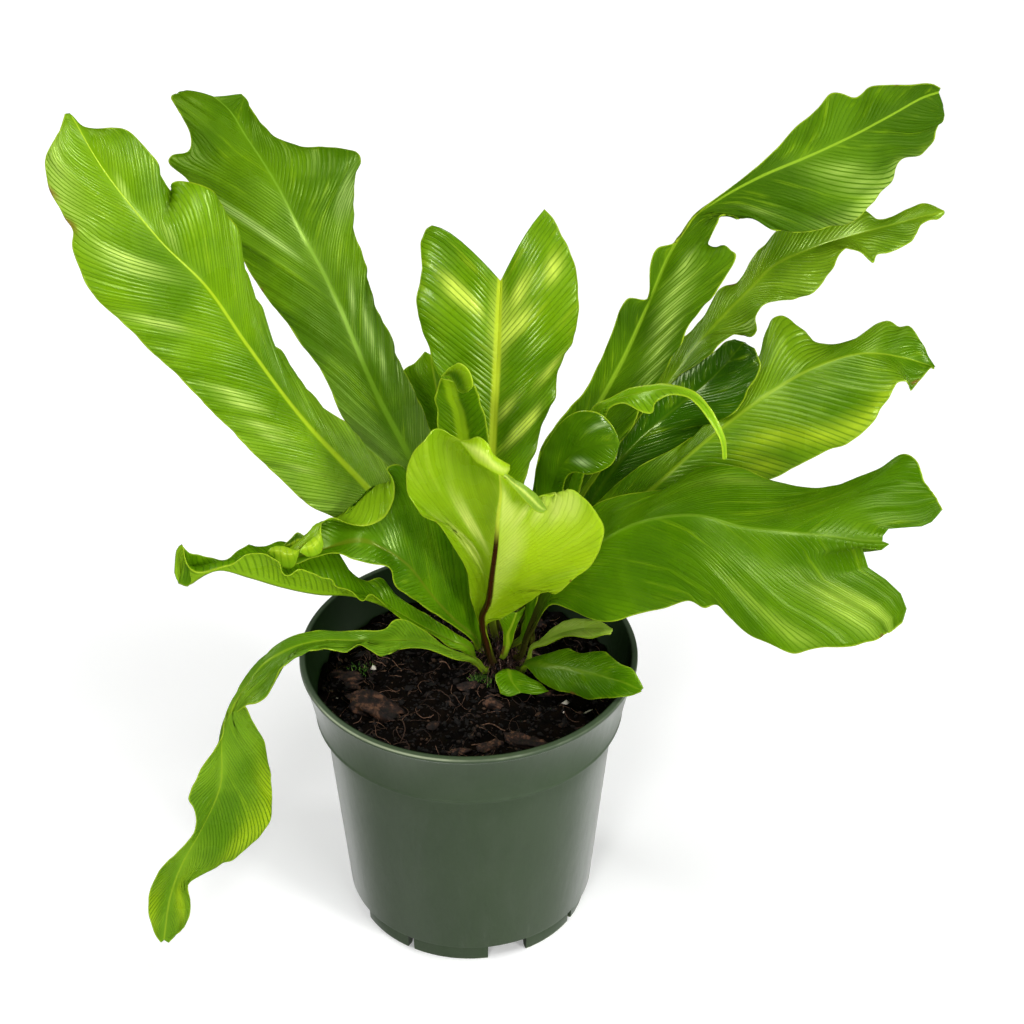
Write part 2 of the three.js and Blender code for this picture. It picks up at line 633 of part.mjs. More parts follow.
    left: [
      [26, 32, 152], [42, 42, 192], [66, 60, 224], [88, 73, 245], [102, 84, 262], [117, 95, 280],
      [124, 96, 282], [134, 104, 296], [152, 112, 308], [168, 117, 309], [182, 119, 307],
      [189, 119, 302], [205, 125, 305], [212, 127, 306], [219, 125, 304],
    ],
    right: [
      [30, 30, 152], [61, 39, 195], [90, 52, 230], [114, 70, 264], [121, 75, 267], [129, 77, 264],
      [134, 83, 276], [142, 85, 279], [162, 91, 285], [169, 96, 293], [177, 101, 296], [186, 101, 289],
      [196, 107, 292], [206, 112, 296], [217, 122, 302],
    ],
  },
  {
    name: "frond_right_mid",
    seat: [6, 23],
    rows: 18,
    rib: [
      [30, 14, 158], [47, 13, 187], [65, 13, 207], [83, 18, 221], [102, 25, 237], [123, 33, 252],
      [143, 42, 262], [157, 46, 268], [176, 50, 272], [195, 52, 269], [208, 53, 262],
    ],
    left: [
      [29, 16, 158], [42, 15, 192], [60, 17, 216], [77, 23, 229], [95, 31, 235], [105, 42, 237],
      [126, 55, 258], [134, 62, 269], [137, 65, 280], [150, 63, 277], [167, 61, 273], [178, 63, 276],
      [191, 65, 280], [199, 64, 277], [206, 60, 270], [211, 56, 262],
    ],
    right: [
      [31, 12, 158], [55, 9, 180], [78, 9, 200], [105, 13, 213], [136, 19, 225], [150, 22, 231],
      [162, 24, 237], [176, 27, 244], [185, 31, 253], [191, 36, 260], [199, 39, 260], [207, 51, 262],
    ],
  },
  {
    name: "frond_right_front_large",
    seat: [322, 40],
    fine: true,
    rows: 20,
    arch: 0.06,
    rib: [
      [28, 0, 153], [39, -4, 180], [49, -11, 201], [61, -16, 217], [73, -20, 228], [89, -25, 236],
      [102, -29, 239], [119, -34, 237], [138, -39, 238], [158, -43, 238], [170, -46, 238],
      [179, -48, 239],
    ],
    left: [
      [27, 1, 154], [35, -1, 182], [44, -2, 205], [57, -1, 225], [67, 0, 229], [81, -1, 233],
      [88, -1, 234], [96, 1, 239], [103, 2, 243], [118, 0, 245], [128, -4, 244], [145, -11, 242],
      [155, -14, 243], [166, -17, 249], [178, -19, 257], [189, -21, 267], [195, -24, 266],
      [198, -30, 260], [202, -35, 252], [204, -39, 249],
    ],
    right: [
      [29, -1, 152], [38, -11, 177], [46, -17, 179], [55, -25, 180], [64, -31, 183], [74, -34, 189],
      [87, -38, 195], [98, -42, 203], [104, -46, 202], [109, -47, 204], [115, -51, 200],
      [123, -55, 194], [134, -60, 192], [143, -63, 190], [152, -65, 194], [168, -69, 199],
      [181, -71, 208], [186, -71, 214],
    ],
    leftEnd: [[181, -46, 243], [190, -44, 244], [199, -42, 244], [204, -39, 249]],
    rightEnd: [
      [183, -49, 238], [181, -49, 235], [172, -49, 237], [173, -54, 230], [177, -57, 227],
      [182, -60, 224], [188, -66, 218], [186, -71, 214],
    ],
  },
  {
    name: "frond_right_rolled",
    seat: [308, 66],
    rows: 16,
    rib: [
      [25, 6, 146], [31, 6, 190], [35, 6, 220], [40, 7, 238], [46, 6, 255], [54, -2, 265],
      [58, -9, 260], [56, -12, 250],
    ],
    left: [
      [24, 7, 146], [27, 8, 188], [29, 10, 224], [35, 12, 241], [41, 11, 256], [49, 6, 270],
      [58, -3, 276], [65, -9, 271], [67, -12, 265], [62, -14, 253], [57, -13, 250],
    ],
    right: [
      [26, 5, 145], [35, 4, 186], [41, 4, 216], [45, 5, 229], [46, 4, 239], [48, -3, 247],
      [51, -9, 248], [55, -12, 249],
    ],
  },
  {
    name: "frond_right_arched",
    seat: [350, 48],
    rows: 20,
    rib: [
      [26, 9, 150], [33, 7, 168], [42, 9, 205], [50, 12, 235], [55, 15, 254], [61, 12, 269],
      [71, 6, 278], [82, 0, 285], [92, -6, 289], [101, -11, 286], [107, -15, 278], [111, -17, 269],
      [112, -17, 260],
    ],
    left: [
      [25, 10, 150], [32, 9, 168], [40, 12, 202], [48, 15, 234], [53, 18, 255], [56, 16, 266],
      [64, 12, 274], [72, 7, 282], [82, 2, 287], [91, -4, 290], [98, -8, 290], [102, -11, 288],
      [108, -14, 280], [112, -16, 270], [113, -17, 261],
    ],
    right: [
      [27, 8, 150], [34, 6, 168], [44, 6, 206], [53, 8, 237], [59, 9, 255], [62, 5, 271], [69, 0, 278],
      [75, -5, 278], [80, -8, 279], [82, -8, 284], [89, -10, 289], [96, -13, 289], [102, -16, 284],
      [108, -18, 275], [110, -19, 269], [111, -18, 261],
    ],
  },
  {
    name: "frond_right_glossy",
    seat: [38, 52],
    rows: 14,
    rib: [
      [28, 19, 150], [42, 24, 176], [60, 35, 209], [78, 41, 232], [96, 45, 248], [113, 47, 264],
      [124, 46, 278],
    ],
    left: [
      [27, 20, 150], [38, 24, 179], [53, 33, 207], [70, 43, 230], [85, 51, 248], [97, 56, 258],
      [112, 57, 267], [117, 55, 276], [123, 51, 280],
    ],
    right: [
      [29, 18, 150], [48, 24, 174], [65, 30, 201], [78, 34, 216], [90, 37, 220], [98, 37, 240],
      [111, 31, 249], [121, 29, 256], [126, 30, 268], [131, 36, 278], [128, 45, 279],
    ],
  },
  {
    name: "frond_front_small",
    seat: [272, 22],
    rows: 7,
    rib: [[18, 0, 131], [20, -7, 129], [24, -12, 127]],
    left: [[20, 0, 131], [24, -2, 131], [29, -5, 130], [34, -8, 129], [37, -11, 127]],
    right: [[16, 0, 131], [13, -3, 131], [12, -7, 130], [13, -10, 129], [15, -13, 127]],
    leftEnd: [[31, -13, 126], [37, -11, 127]],
    rightEnd: [[19, -14, 126], [15, -13, 127]],
  },
  {
    name: "frond_right_front_small",
    seat: [312, 20],
    rows: 10,
    rib: [[27, 2, 133], [33, -4, 137], [47, -16, 144], [60, -27, 149], [71, -36, 152], [78, -40, 151]],
    left: [
      [28, 4, 134], [37, -2, 142], [45, -6, 148], [53, -13, 151], [62, -19, 156], [69, -30, 158],
      [74, -33, 158], [77, -37, 155], [79, -40, 152],
    ],
    right: [
      [26, 1, 132], [33, -10, 132], [40, -17, 133], [47, -24, 136], [54, -31, 139], [62, -36, 143],
      [68, -39, 146], [74, -40, 148], [78, -41, 151],
    ],
  },
  {
    name: "frond_right_small",
    seat: [340, 24],
    rows: 9,
    rib: [[29, 8, 138], [35, 6, 143], [43, 4, 149], [53, 1, 154], [61, -3, 157], [66, -5, 158]],
    left: [[29, 10, 138], [34, 10, 142], [39, 11, 147], [45, 11, 151], [51, 9, 154], [59, 5, 156], [66, -3, 157]],
    right: [[29, 6, 138], [36, 2, 144], [42, -1, 150], [50, -5, 154], [56, -8, 156], [61, -9, 158], [65, -7, 157]],
  },
  {
    name: "frond_front_strip",
    seat: [276, 50],
    rows: 7,
    rib: [[18, 2, 144], [18, 2, 150], [20, 2, 156], [22, 3, 162]],
    left: [[16, 2, 144], [16, 2, 150], [15, 2, 155], [14, 2, 161], [17, 3, 164]],
    right: [[20, 3, 144], [21, 3, 150], [23, 3, 156], [25, 4, 160], [26, 5, 164]],
  },
];

// Colours and finish of each kind of surface
const FINISH = {
  pot: { color: 0x33463a, roughness: 0.5, metalness: 0 },
  soil: { color: 0x1d1410, roughness: 1, metalness: 0 },
  crown: { color: 0x3a2418, roughness: 0.9, metalness: 0 },
  frond: { color: 0x4f9410, roughness: 0.35, metalness: 0 },
};

function addPiece(group, name, geometry, finish) {
  const mesh = new THREE.Mesh(geometry, new THREE.MeshStandardMaterial(FINISH[finish]));
  mesh.name = name;
  group.add(mesh);
}

const fern = new THREE.Group();
const clearance = makeClearance();
addPiece(fern, "pot", makePot(), "pot");
addPiece(fern, "soil", makeSoil(), "soil");
addPiece(fern, "crown", makeCrown(), "crown");
FRONDS.forEach((frond) => addPiece(fern, frond.name, makeFrond(frond), "frond"));

export default fern;
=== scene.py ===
# A bird's nest fern in its nursery pot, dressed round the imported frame, +Z up.
# Blender's objects are in metres. The shapes are worked out in millimetres and scaled at the end.
import math

import bpy
import numpy as np
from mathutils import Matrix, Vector


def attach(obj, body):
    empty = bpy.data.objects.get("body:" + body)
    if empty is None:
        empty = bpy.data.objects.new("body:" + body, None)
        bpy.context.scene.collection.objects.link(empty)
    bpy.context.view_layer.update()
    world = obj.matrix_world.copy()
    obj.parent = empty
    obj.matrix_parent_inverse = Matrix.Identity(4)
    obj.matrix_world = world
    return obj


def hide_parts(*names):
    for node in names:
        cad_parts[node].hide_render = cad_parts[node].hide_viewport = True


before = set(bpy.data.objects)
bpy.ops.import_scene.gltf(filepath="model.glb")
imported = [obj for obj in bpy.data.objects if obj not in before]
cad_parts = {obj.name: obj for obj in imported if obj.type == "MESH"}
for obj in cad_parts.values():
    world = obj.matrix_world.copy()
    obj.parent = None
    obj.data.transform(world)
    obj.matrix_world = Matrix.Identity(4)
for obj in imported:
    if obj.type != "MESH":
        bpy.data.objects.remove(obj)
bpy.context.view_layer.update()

MM = 0.001

# The pot
POT_HEIGHT = 142
RIM_RADIUS = 78
LIP_THICKNESS = 3.2
BAND_TOP_RADIUS = 76.8
BAND_BOTTOM_RADIUS = 71
BAND_BOTTOM = 111
RIDGE_PROUD = 0.6
BODY_TOP_RADIUS = 67.4
BODY_BOTTOM_RADIUS = 58
FOOT_RADIUS = 55
FOOT_HEIGHT = 9.6
FOOT_INNER = FOOT_RADIUS - 3.4
WALL = 1.6
FLOOR_UNDERSIDE = 2.4
FLOOR_TOP = 4.6
PAD_RADIUS = 14
NOTCH_HEIGHT = 8.4
FEET = 4
# Width and first angle of the notches and of the slits
FOOT_CUTS = ((19, 19), (3.4, -30.5))
POT_SEGMENTS = 192
SHARP_ANGLE = 38
NOISE_CELLS = 32

# The soil and the crown
SOIL_TOP = 121.5
SOIL_RADIUS = 70.4
SOIL_BOTTOM = FLOOR_TOP + 0.3
SOIL_RINGS = 120
SOIL_SEGMENTS = 260
CROWN_CENTRE = np.array([15.0, 14.0, 120.5])
CROWN_RADIUS = 11.5
CROWN_SIZE = np.array([CROWN_RADIUS, CROWN_RADIUS, 17])

CRUMB_COUNT = 2600
CRUMB_REACH = 68.5
ROOT_COUNT = 240
ROOT_REACH = 66
SCALE_COUNT = 420
HAIR_COUNT = 130
# Place, spread and number of moss leaves
MOSS_TUFTS = (((6, 3.4), 2.2, 150), ((2.2, 1), 1.2, 50), ((-50, 12), 2.4, 50), ((22, 52), 3, 70))

# Every frond
STALK_SINK = 0.8
STALK_HALF_WIDTH = 1.6
STALK_LIFT = 3
STALK_THICKNESS = 2.2
BLADE_THICKNESS = 0.56
TIP_TRIM = 0.0015
END_START = 0.72
CURVE_DIVISIONS = 240
LARGEST_SWEEP = 0.3
TIP_CROWDING = 0.85
ROW_STEP = 0.55
RIB_COLUMNS_MM = (0.0, 0.5, 1.1, 2.0)
RIB_COLUMNS_SHARE = (0.0, 0.2, 0.42, 0.66)
REST_COLUMNS = (0.14, 0.3, 0.46, 0.62, 0.77, 0.89, 0.97, 1.0)
FLAP_COLUMNS = 17
TOWARDS_VIEW = (0.0, -0.76, 0.65)
DARK_STALK = (0.03, 0.015, 0.006)
NICK_BROWN = (0.17, 0.075, 0.018)
BURNT_BROWN = (0.2, 0.08, 0.015)


# Smooth steps, directions and curves
def smoothstep(value, low, high):
    share = np.clip((np.asarray(value, float) - low) / (high - low), 0, 1)
    return share * share * (3 - 2 * share)


def unit(vectors):
    length = np.linalg.norm(vectors, axis=-1, keepdims=True)
    return vectors / np.maximum(length, 1e-9)


def direction(azimuth, elevation):
    flat = math.cos(elevation)
    return np.array([flat * math.cos(azimuth), flat * math.sin(azimuth), math.sin(elevation)])


def triples(numbers, size=3):
    """Rows of a flat list of numbers."""
    return np.reshape(np.asarray(numbers, float), (-1, size))


def catmull_rom(points, share):
    """Points of a centripetal Catmull-Rom curve at shares 0 to 1 of its spans."""
    padded = np.vstack([2 * points[0] - points[1], points, 2 * points[-1] - points[-2]])
    spans = len(points) - 1
    place = np.clip(np.asarray(share, float), 0, 1) * spans
    span = np.minimum(place.astype(int), spans - 1)
    corners = [padded[span + step] for step in range(4)]
    return centripetal_span(*corners, (place - span)[..., None])


def centripetal_span(p0, p1, p2, p3, weight):
    """The stretch from p1 to p2 of the curve through four points."""
    step0, step1, step2 = [
        np.sqrt(np.linalg.norm(b - a, axis=-1, keepdims=True)) for a, b in ((p0, p1), (p1, p2), (p2, p3))]
    step1 = np.where(step1 < 1e-4, 1.0, step1)
    step0 = np.where(step0 < 1e-4, step1, step0)
    step2 = np.where(step2 < 1e-4, step1, step2)
    slope1 = (p1 - p0) / step0 - (p2 - p0) / (step0 + step1) + (p2 - p1) / step1
    slope2 = (p2 - p1) / step1 - (p3 - p1) / (step1 + step2) + (p3 - p2) / step2
    slope1 = slope1 * step1
    slope2 = slope2 * step1
    square = -3 * p1 + 3 * p2 - 2 * slope1 - slope2
    cube = 2 * p1 - 2 * p2 + slope1 + slope2
    return p1 + weight * (slope1 + weight * (square + weight * cube))


class Curve:
    """A curve read by share of its length."""

    def __init__(self, points):
        self.points = np.asarray(points, float)
        self.shares = np.linspace(0, 1, CURVE_DIVISIONS + 1)
        steps = np.linalg.norm(np.diff(catmull_rom(self.points, self.shares), axis=0), axis=1)
        self.lengths = np.concatenate([[0], np.cumsum(steps)])
        self.length = self.lengths[-1]

    def at(self, along):
        wanted = np.clip(along, 0, 1) * self.length
        return catmull_rom(self.points, np.interp(wanted, self.lengths, self.shares))

    def tangent(self, along):
        reach = 0.002
        return unit(self.at(np.clip(along + reach, 0, 1)) - self.at(np.clip(along - reach, 0, 1)))


def value_noise(places, seed):
    """Smooth noise from -1 to 1 over places, with one lump to each unit."""
    table = np.random.default_rng(seed).uniform(-1, 1, [NOISE_CELLS] * 3)
    places = np.asarray(places, float)
    cell = np.floor(places).astype(int)
    inside = places - cell
    blend = inside * inside * (3 - 2 * inside)
    total = 0
    for corner in ((x, y, z) for x in (0, 1) for y in (0, 1) for z in (0, 1)):
        near = np.moveaxis((cell + corner) % NOISE_CELLS, -1, 0)
        weight = np.moveaxis(np.abs(1 - np.array(corner) - blend), -1, 0)
        total = total + table[tuple(near)] * (weight[0] * weight[1]) * weight[2]
    return total


# Meshes
def linked_object(name, mesh):
    thing = bpy.data.objects.new(name, mesh)
    bpy.context.scene.collection.objects.link(thing)
    return thing


def bare_object(name, points, faces):
    mesh = bpy.data.meshes.new(name)
    mesh.from_pydata([tuple(p) for p in np.asarray(points) * MM], [], faces)
    mesh.update()
    return linked_object(name, mesh)


def new_piece(name, points, faces, material, floats=None):
    """A smooth mesh object from points in millimetres and faces of one size."""
    mesh = bpy.data.meshes.new(name)
    faces = np.asarray(faces, np.int32)
    mesh.vertices.add(len(points))
    mesh.vertices.foreach_set("co", (np.asarray(points, float) * MM).astype(np.float32).ravel())
    mesh.loops.add(faces.size)
    mesh.loops.foreach_set("vertex_index", faces.ravel())
    mesh.polygons.add(len(faces))
    mesh.polygons.foreach_set("loop_start", np.arange(0, faces.size, faces.shape[1], dtype=np.int32))
    mesh.polygons.foreach_set("use_smooth", np.ones(len(faces), bool))
    for key, values in (floats or {}).items():
        layer = mesh.attributes.new(key, "FLOAT", "POINT")
        layer.data.foreach_set("value", np.asarray(values, np.float32).ravel())
    mesh.update(calc_edges=True)
    mesh.validate()
    mesh.materials.append(material)
    piece = linked_object(name, mesh)
    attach(piece, "root")
    return piece


def ring_pairs(rows, around):
    """The point numbers of each step of each ring but the last, and of the steps beside them."""
    row, step = np.meshgrid(np.arange(rows - 1), np.arange(around), indexing="ij")
    return (row * around + step).ravel(), (row * around + (step + 1) % around).ravel()


def closed_rings(rows, around, rising=False):
    """Triangles of a body made of rings. The two points after the rings close its top and its bottom."""
    a, b = ring_pairs(rows, around)
    ring = np.arange(around)
    beside = (ring + 1) % around
    last = (rows - 1) * around
    hub = np.full(around, rows * around)
    if rising:
        corners = [(a, b, b + around), (a, b + around, a + around),
                   (hub, last + ring, last + beside), (hub + 1, beside, ring)]
    else:
        corners = [(a, a + around, b + around), (a, b + around, b),
                   (hub, ring, beside), (hub + 1, last + beside, last + ring)]
    return np.concatenate([np.stack(three, axis=1) for three in corners])


class Shader:
    """A material, and short calls for the nodes it is made of."""

    def __init__(self, name):
        self.material = bpy.data.materials.new(name)
        self.material.use_nodes = True
        self.tree = self.material.node_tree
        self.tree.nodes.clear()

    def node(self, kind, inputs, **settings):
        node = self.tree.nodes.new("ShaderNode" + kind)
        for key, value in settings.items():
            setattr(node, key, value)
        for key, value in inputs.items():
            socket = node.inputs[key]
            if isinstance(value, bpy.types.NodeSocket):
                self.tree.links.new(value, socket)
            else:
                socket.default_value = (*value, 1) if socket.type == "RGBA" else value
        return node

    def math(self, operation, first, second=0.0):
        return self.node("Math", {0: first, 1: second}, operation=operation).outputs[0]

    def times(self, first, second):
        return self.math("MULTIPLY", first, second)

    def vector(self, operation, inputs):
        return self.node("VectorMath", inputs, operation=operation).outputs

    def mix(self, share, first, second):
        return self.node("Mix", {0: share, 6: first, 7: second}, data_type="RGBA").outputs[2]

    def ramp(self, value, low, high, first=0.0, last=1.0):
        """A smooth step of a value from one level to another."""
        inputs = {"Value": value, "From Min": low, "From Max": high, "To Min": first, "To Max": last}
        return self.node("MapRange", inputs, interpolation_type="SMOOTHSTEP").outputs["Result"]

    def attribute(self, name):
        return self.node("Attribute", {}, attribute_name=name).outputs["Fac"]

    def coords(self, name):
        return self.node("TexCoord", {}).outputs[name]

    def noise(self, scale, detail=3.0, rough=0.5, stretch=(1, 1, 1)):
        place = self.node("Mapping", {"Vector": self.coords("Object"), "Scale": stretch}).outputs[0]
        inputs = {"Vector": place, "Scale": scale, "Detail": detail, "Roughness": rough}
        return self.node("TexNoise", inputs).outputs["Fac"]

    def bump(self, height, strength, distance):
        inputs = {"Height": height, "Strength": strength, "Distance": distance}
        return self.node("Bump", inputs).outputs[0]

    def skin(self, tone, rough, normal, more):
        inputs = {"Base Color": tone, "Roughness": rough, "Normal": normal, **more}
        return self.node("BsdfPrincipled", inputs).outputs[0]

    def finish(self, surface):
        self.node("OutputMaterial", {"Surface": surface})
        return self.material


# The leaf tissue: veins, midrib, pale edge, brown stalk, streaks, painted highlights and painted shade, and
# gloss
def leaf_material(name, look):
    kit = Shader(name)
    vein, rib, edge, along, across, under, painted_light, burnt = [kit.attribute(key) for key in (
        "vein", "rib_mm", "edge_mm", "along", "across", "under", "painted_light", "burnt")]

    # broad patches and streaks that follow the veins
    place = kit.node("CombineXYZ", {0: kit.times(vein, 0.42), 1: kit.times(across, 1.4)}).outputs[0]
    grain = {"Vector": place, "Scale": 1, "Detail": 4, "Roughness": 0.62}
    streaks = kit.node("TexNoise", grain).outputs["Fac"]
    tone = kit.mix(kit.ramp(kit.noise(26, 3, 0.55), 0.36, 0.66), look["dark"], look["light"])
    tone = kit.mix(kit.times(under, look["pale_under"]), tone, look["under_colour"])
    # painted shade: one half of the blade is darkened, as though less light fell on it
    tone = kit.mix(kit.ramp(across, -0.12, 0.12, 0, look["shade"]), tone, look["shade_colour"])
    tone = kit.mix(kit.ramp(streaks, 0.52, 0.74, 0, look["streak"]), tone, look["streak_colour"])

    # painted light: patches coloured lighter to stand for gloss highlights and light shining through, dimmed
    # in the furrows into streaks; on a flap the same value marks its crest
    furrow = kit.math("COSINE", kit.times(vein, 2 * math.pi))
    share = kit.times(painted_light, kit.ramp(furrow, -1, 0, look["painted_light_furrow"], 1))
    tone = kit.mix(share, tone, look["painted_light_colour"])

    # a fine dark line in the furrow of each vein
    clear_of_rib = kit.ramp(rib, 1, 3.5)
    line = kit.times(kit.ramp(furrow, -1, look["line_reach"], 1, 0), clear_of_rib)
    tone = kit.mix(kit.times(line, look["line"]), tone, look["line_colour"])

    # the midrib, wide at the stalk and fine at the tip
    rib_width = kit.ramp(along, 0, 1, look["rib_width"], look["rib_width_tip"])
    on_rib = kit.ramp(kit.math("DIVIDE", rib, rib_width), 0.55, 1.25, 1, 0)
    rib_rise = kit.ramp(along, look["rib_fade"], look["rib_fade"] + 0.14)
    rib_tone = kit.mix(rib_rise, look["rib_low"], kit.mix(under, look["rib_colour"], look["rib_under"]))
    tone = kit.mix(kit.times(on_rib, look["rib"]), tone, rib_tone)

    # the margin's pale line, its few brown nicks and the burnt spots
    tone = kit.mix(kit.ramp(edge, 0.15, look["edge_width"], look["edge"], 0), tone, look["edge_colour"])
    nicks = kit.ramp(kit.noise(90, 2, 0.6), 0.68, 0.74, 0, look["nicks"])
    tone = kit.mix(kit.times(nicks, kit.ramp(edge, 0.3, 1.6, 1, 0)), tone, NICK_BROWN)
    tone = kit.mix(burnt, tone, BURNT_BROWN)

    # the stalk turns brown towards the crown
    stalk = kit.ramp(along, look["stalk_from"], look["stalk_to"], 1, 0)
    tone = kit.mix(kit.times(stalk, look["stalk"]), tone, look["stalk_colour"])

    # gloss, the small relief of the cells, and light that comes through
    grooves = kit.times(kit.ramp(furrow, -1, -0.3, -1, 0), clear_of_rib)
    bump = kit.bump(kit.math("ADD", grooves, kit.times(kit.noise(900, 2, 0.6), 0.4)), 0.7, 0.00015)
    rough = kit.ramp(kit.noise(60, 3, 0.5), 0.3, 0.7, look["rough"] - 0.05, look["rough"] + 0.09)
    skin = kit.skin(tone, rough, bump, {
        "Specular IOR Level": look["shine"], "Specular Tint": (0.75, 1, 0.25), "Coat Weight": look["coat"],
        "Coat Roughness": 0.1, "Coat Normal": bump})
    dark = kit.math("MAXIMUM", kit.times(on_rib, kit.ramp(rib_rise, 0, 1, look["rib_dark"], 0)), stalk)
    glow_tone = kit.mix(kit.ramp(dark, 0, 1, 0.55, 0), tone, look["glow"])
    glow = kit.node("BsdfTranslucent", {"Color": glow_tone, "Normal": bump}).outputs[0]
    return kit.finish(kit.node("MixShader", {0: look["through"], 1: skin, 2: glow}).outputs[0])
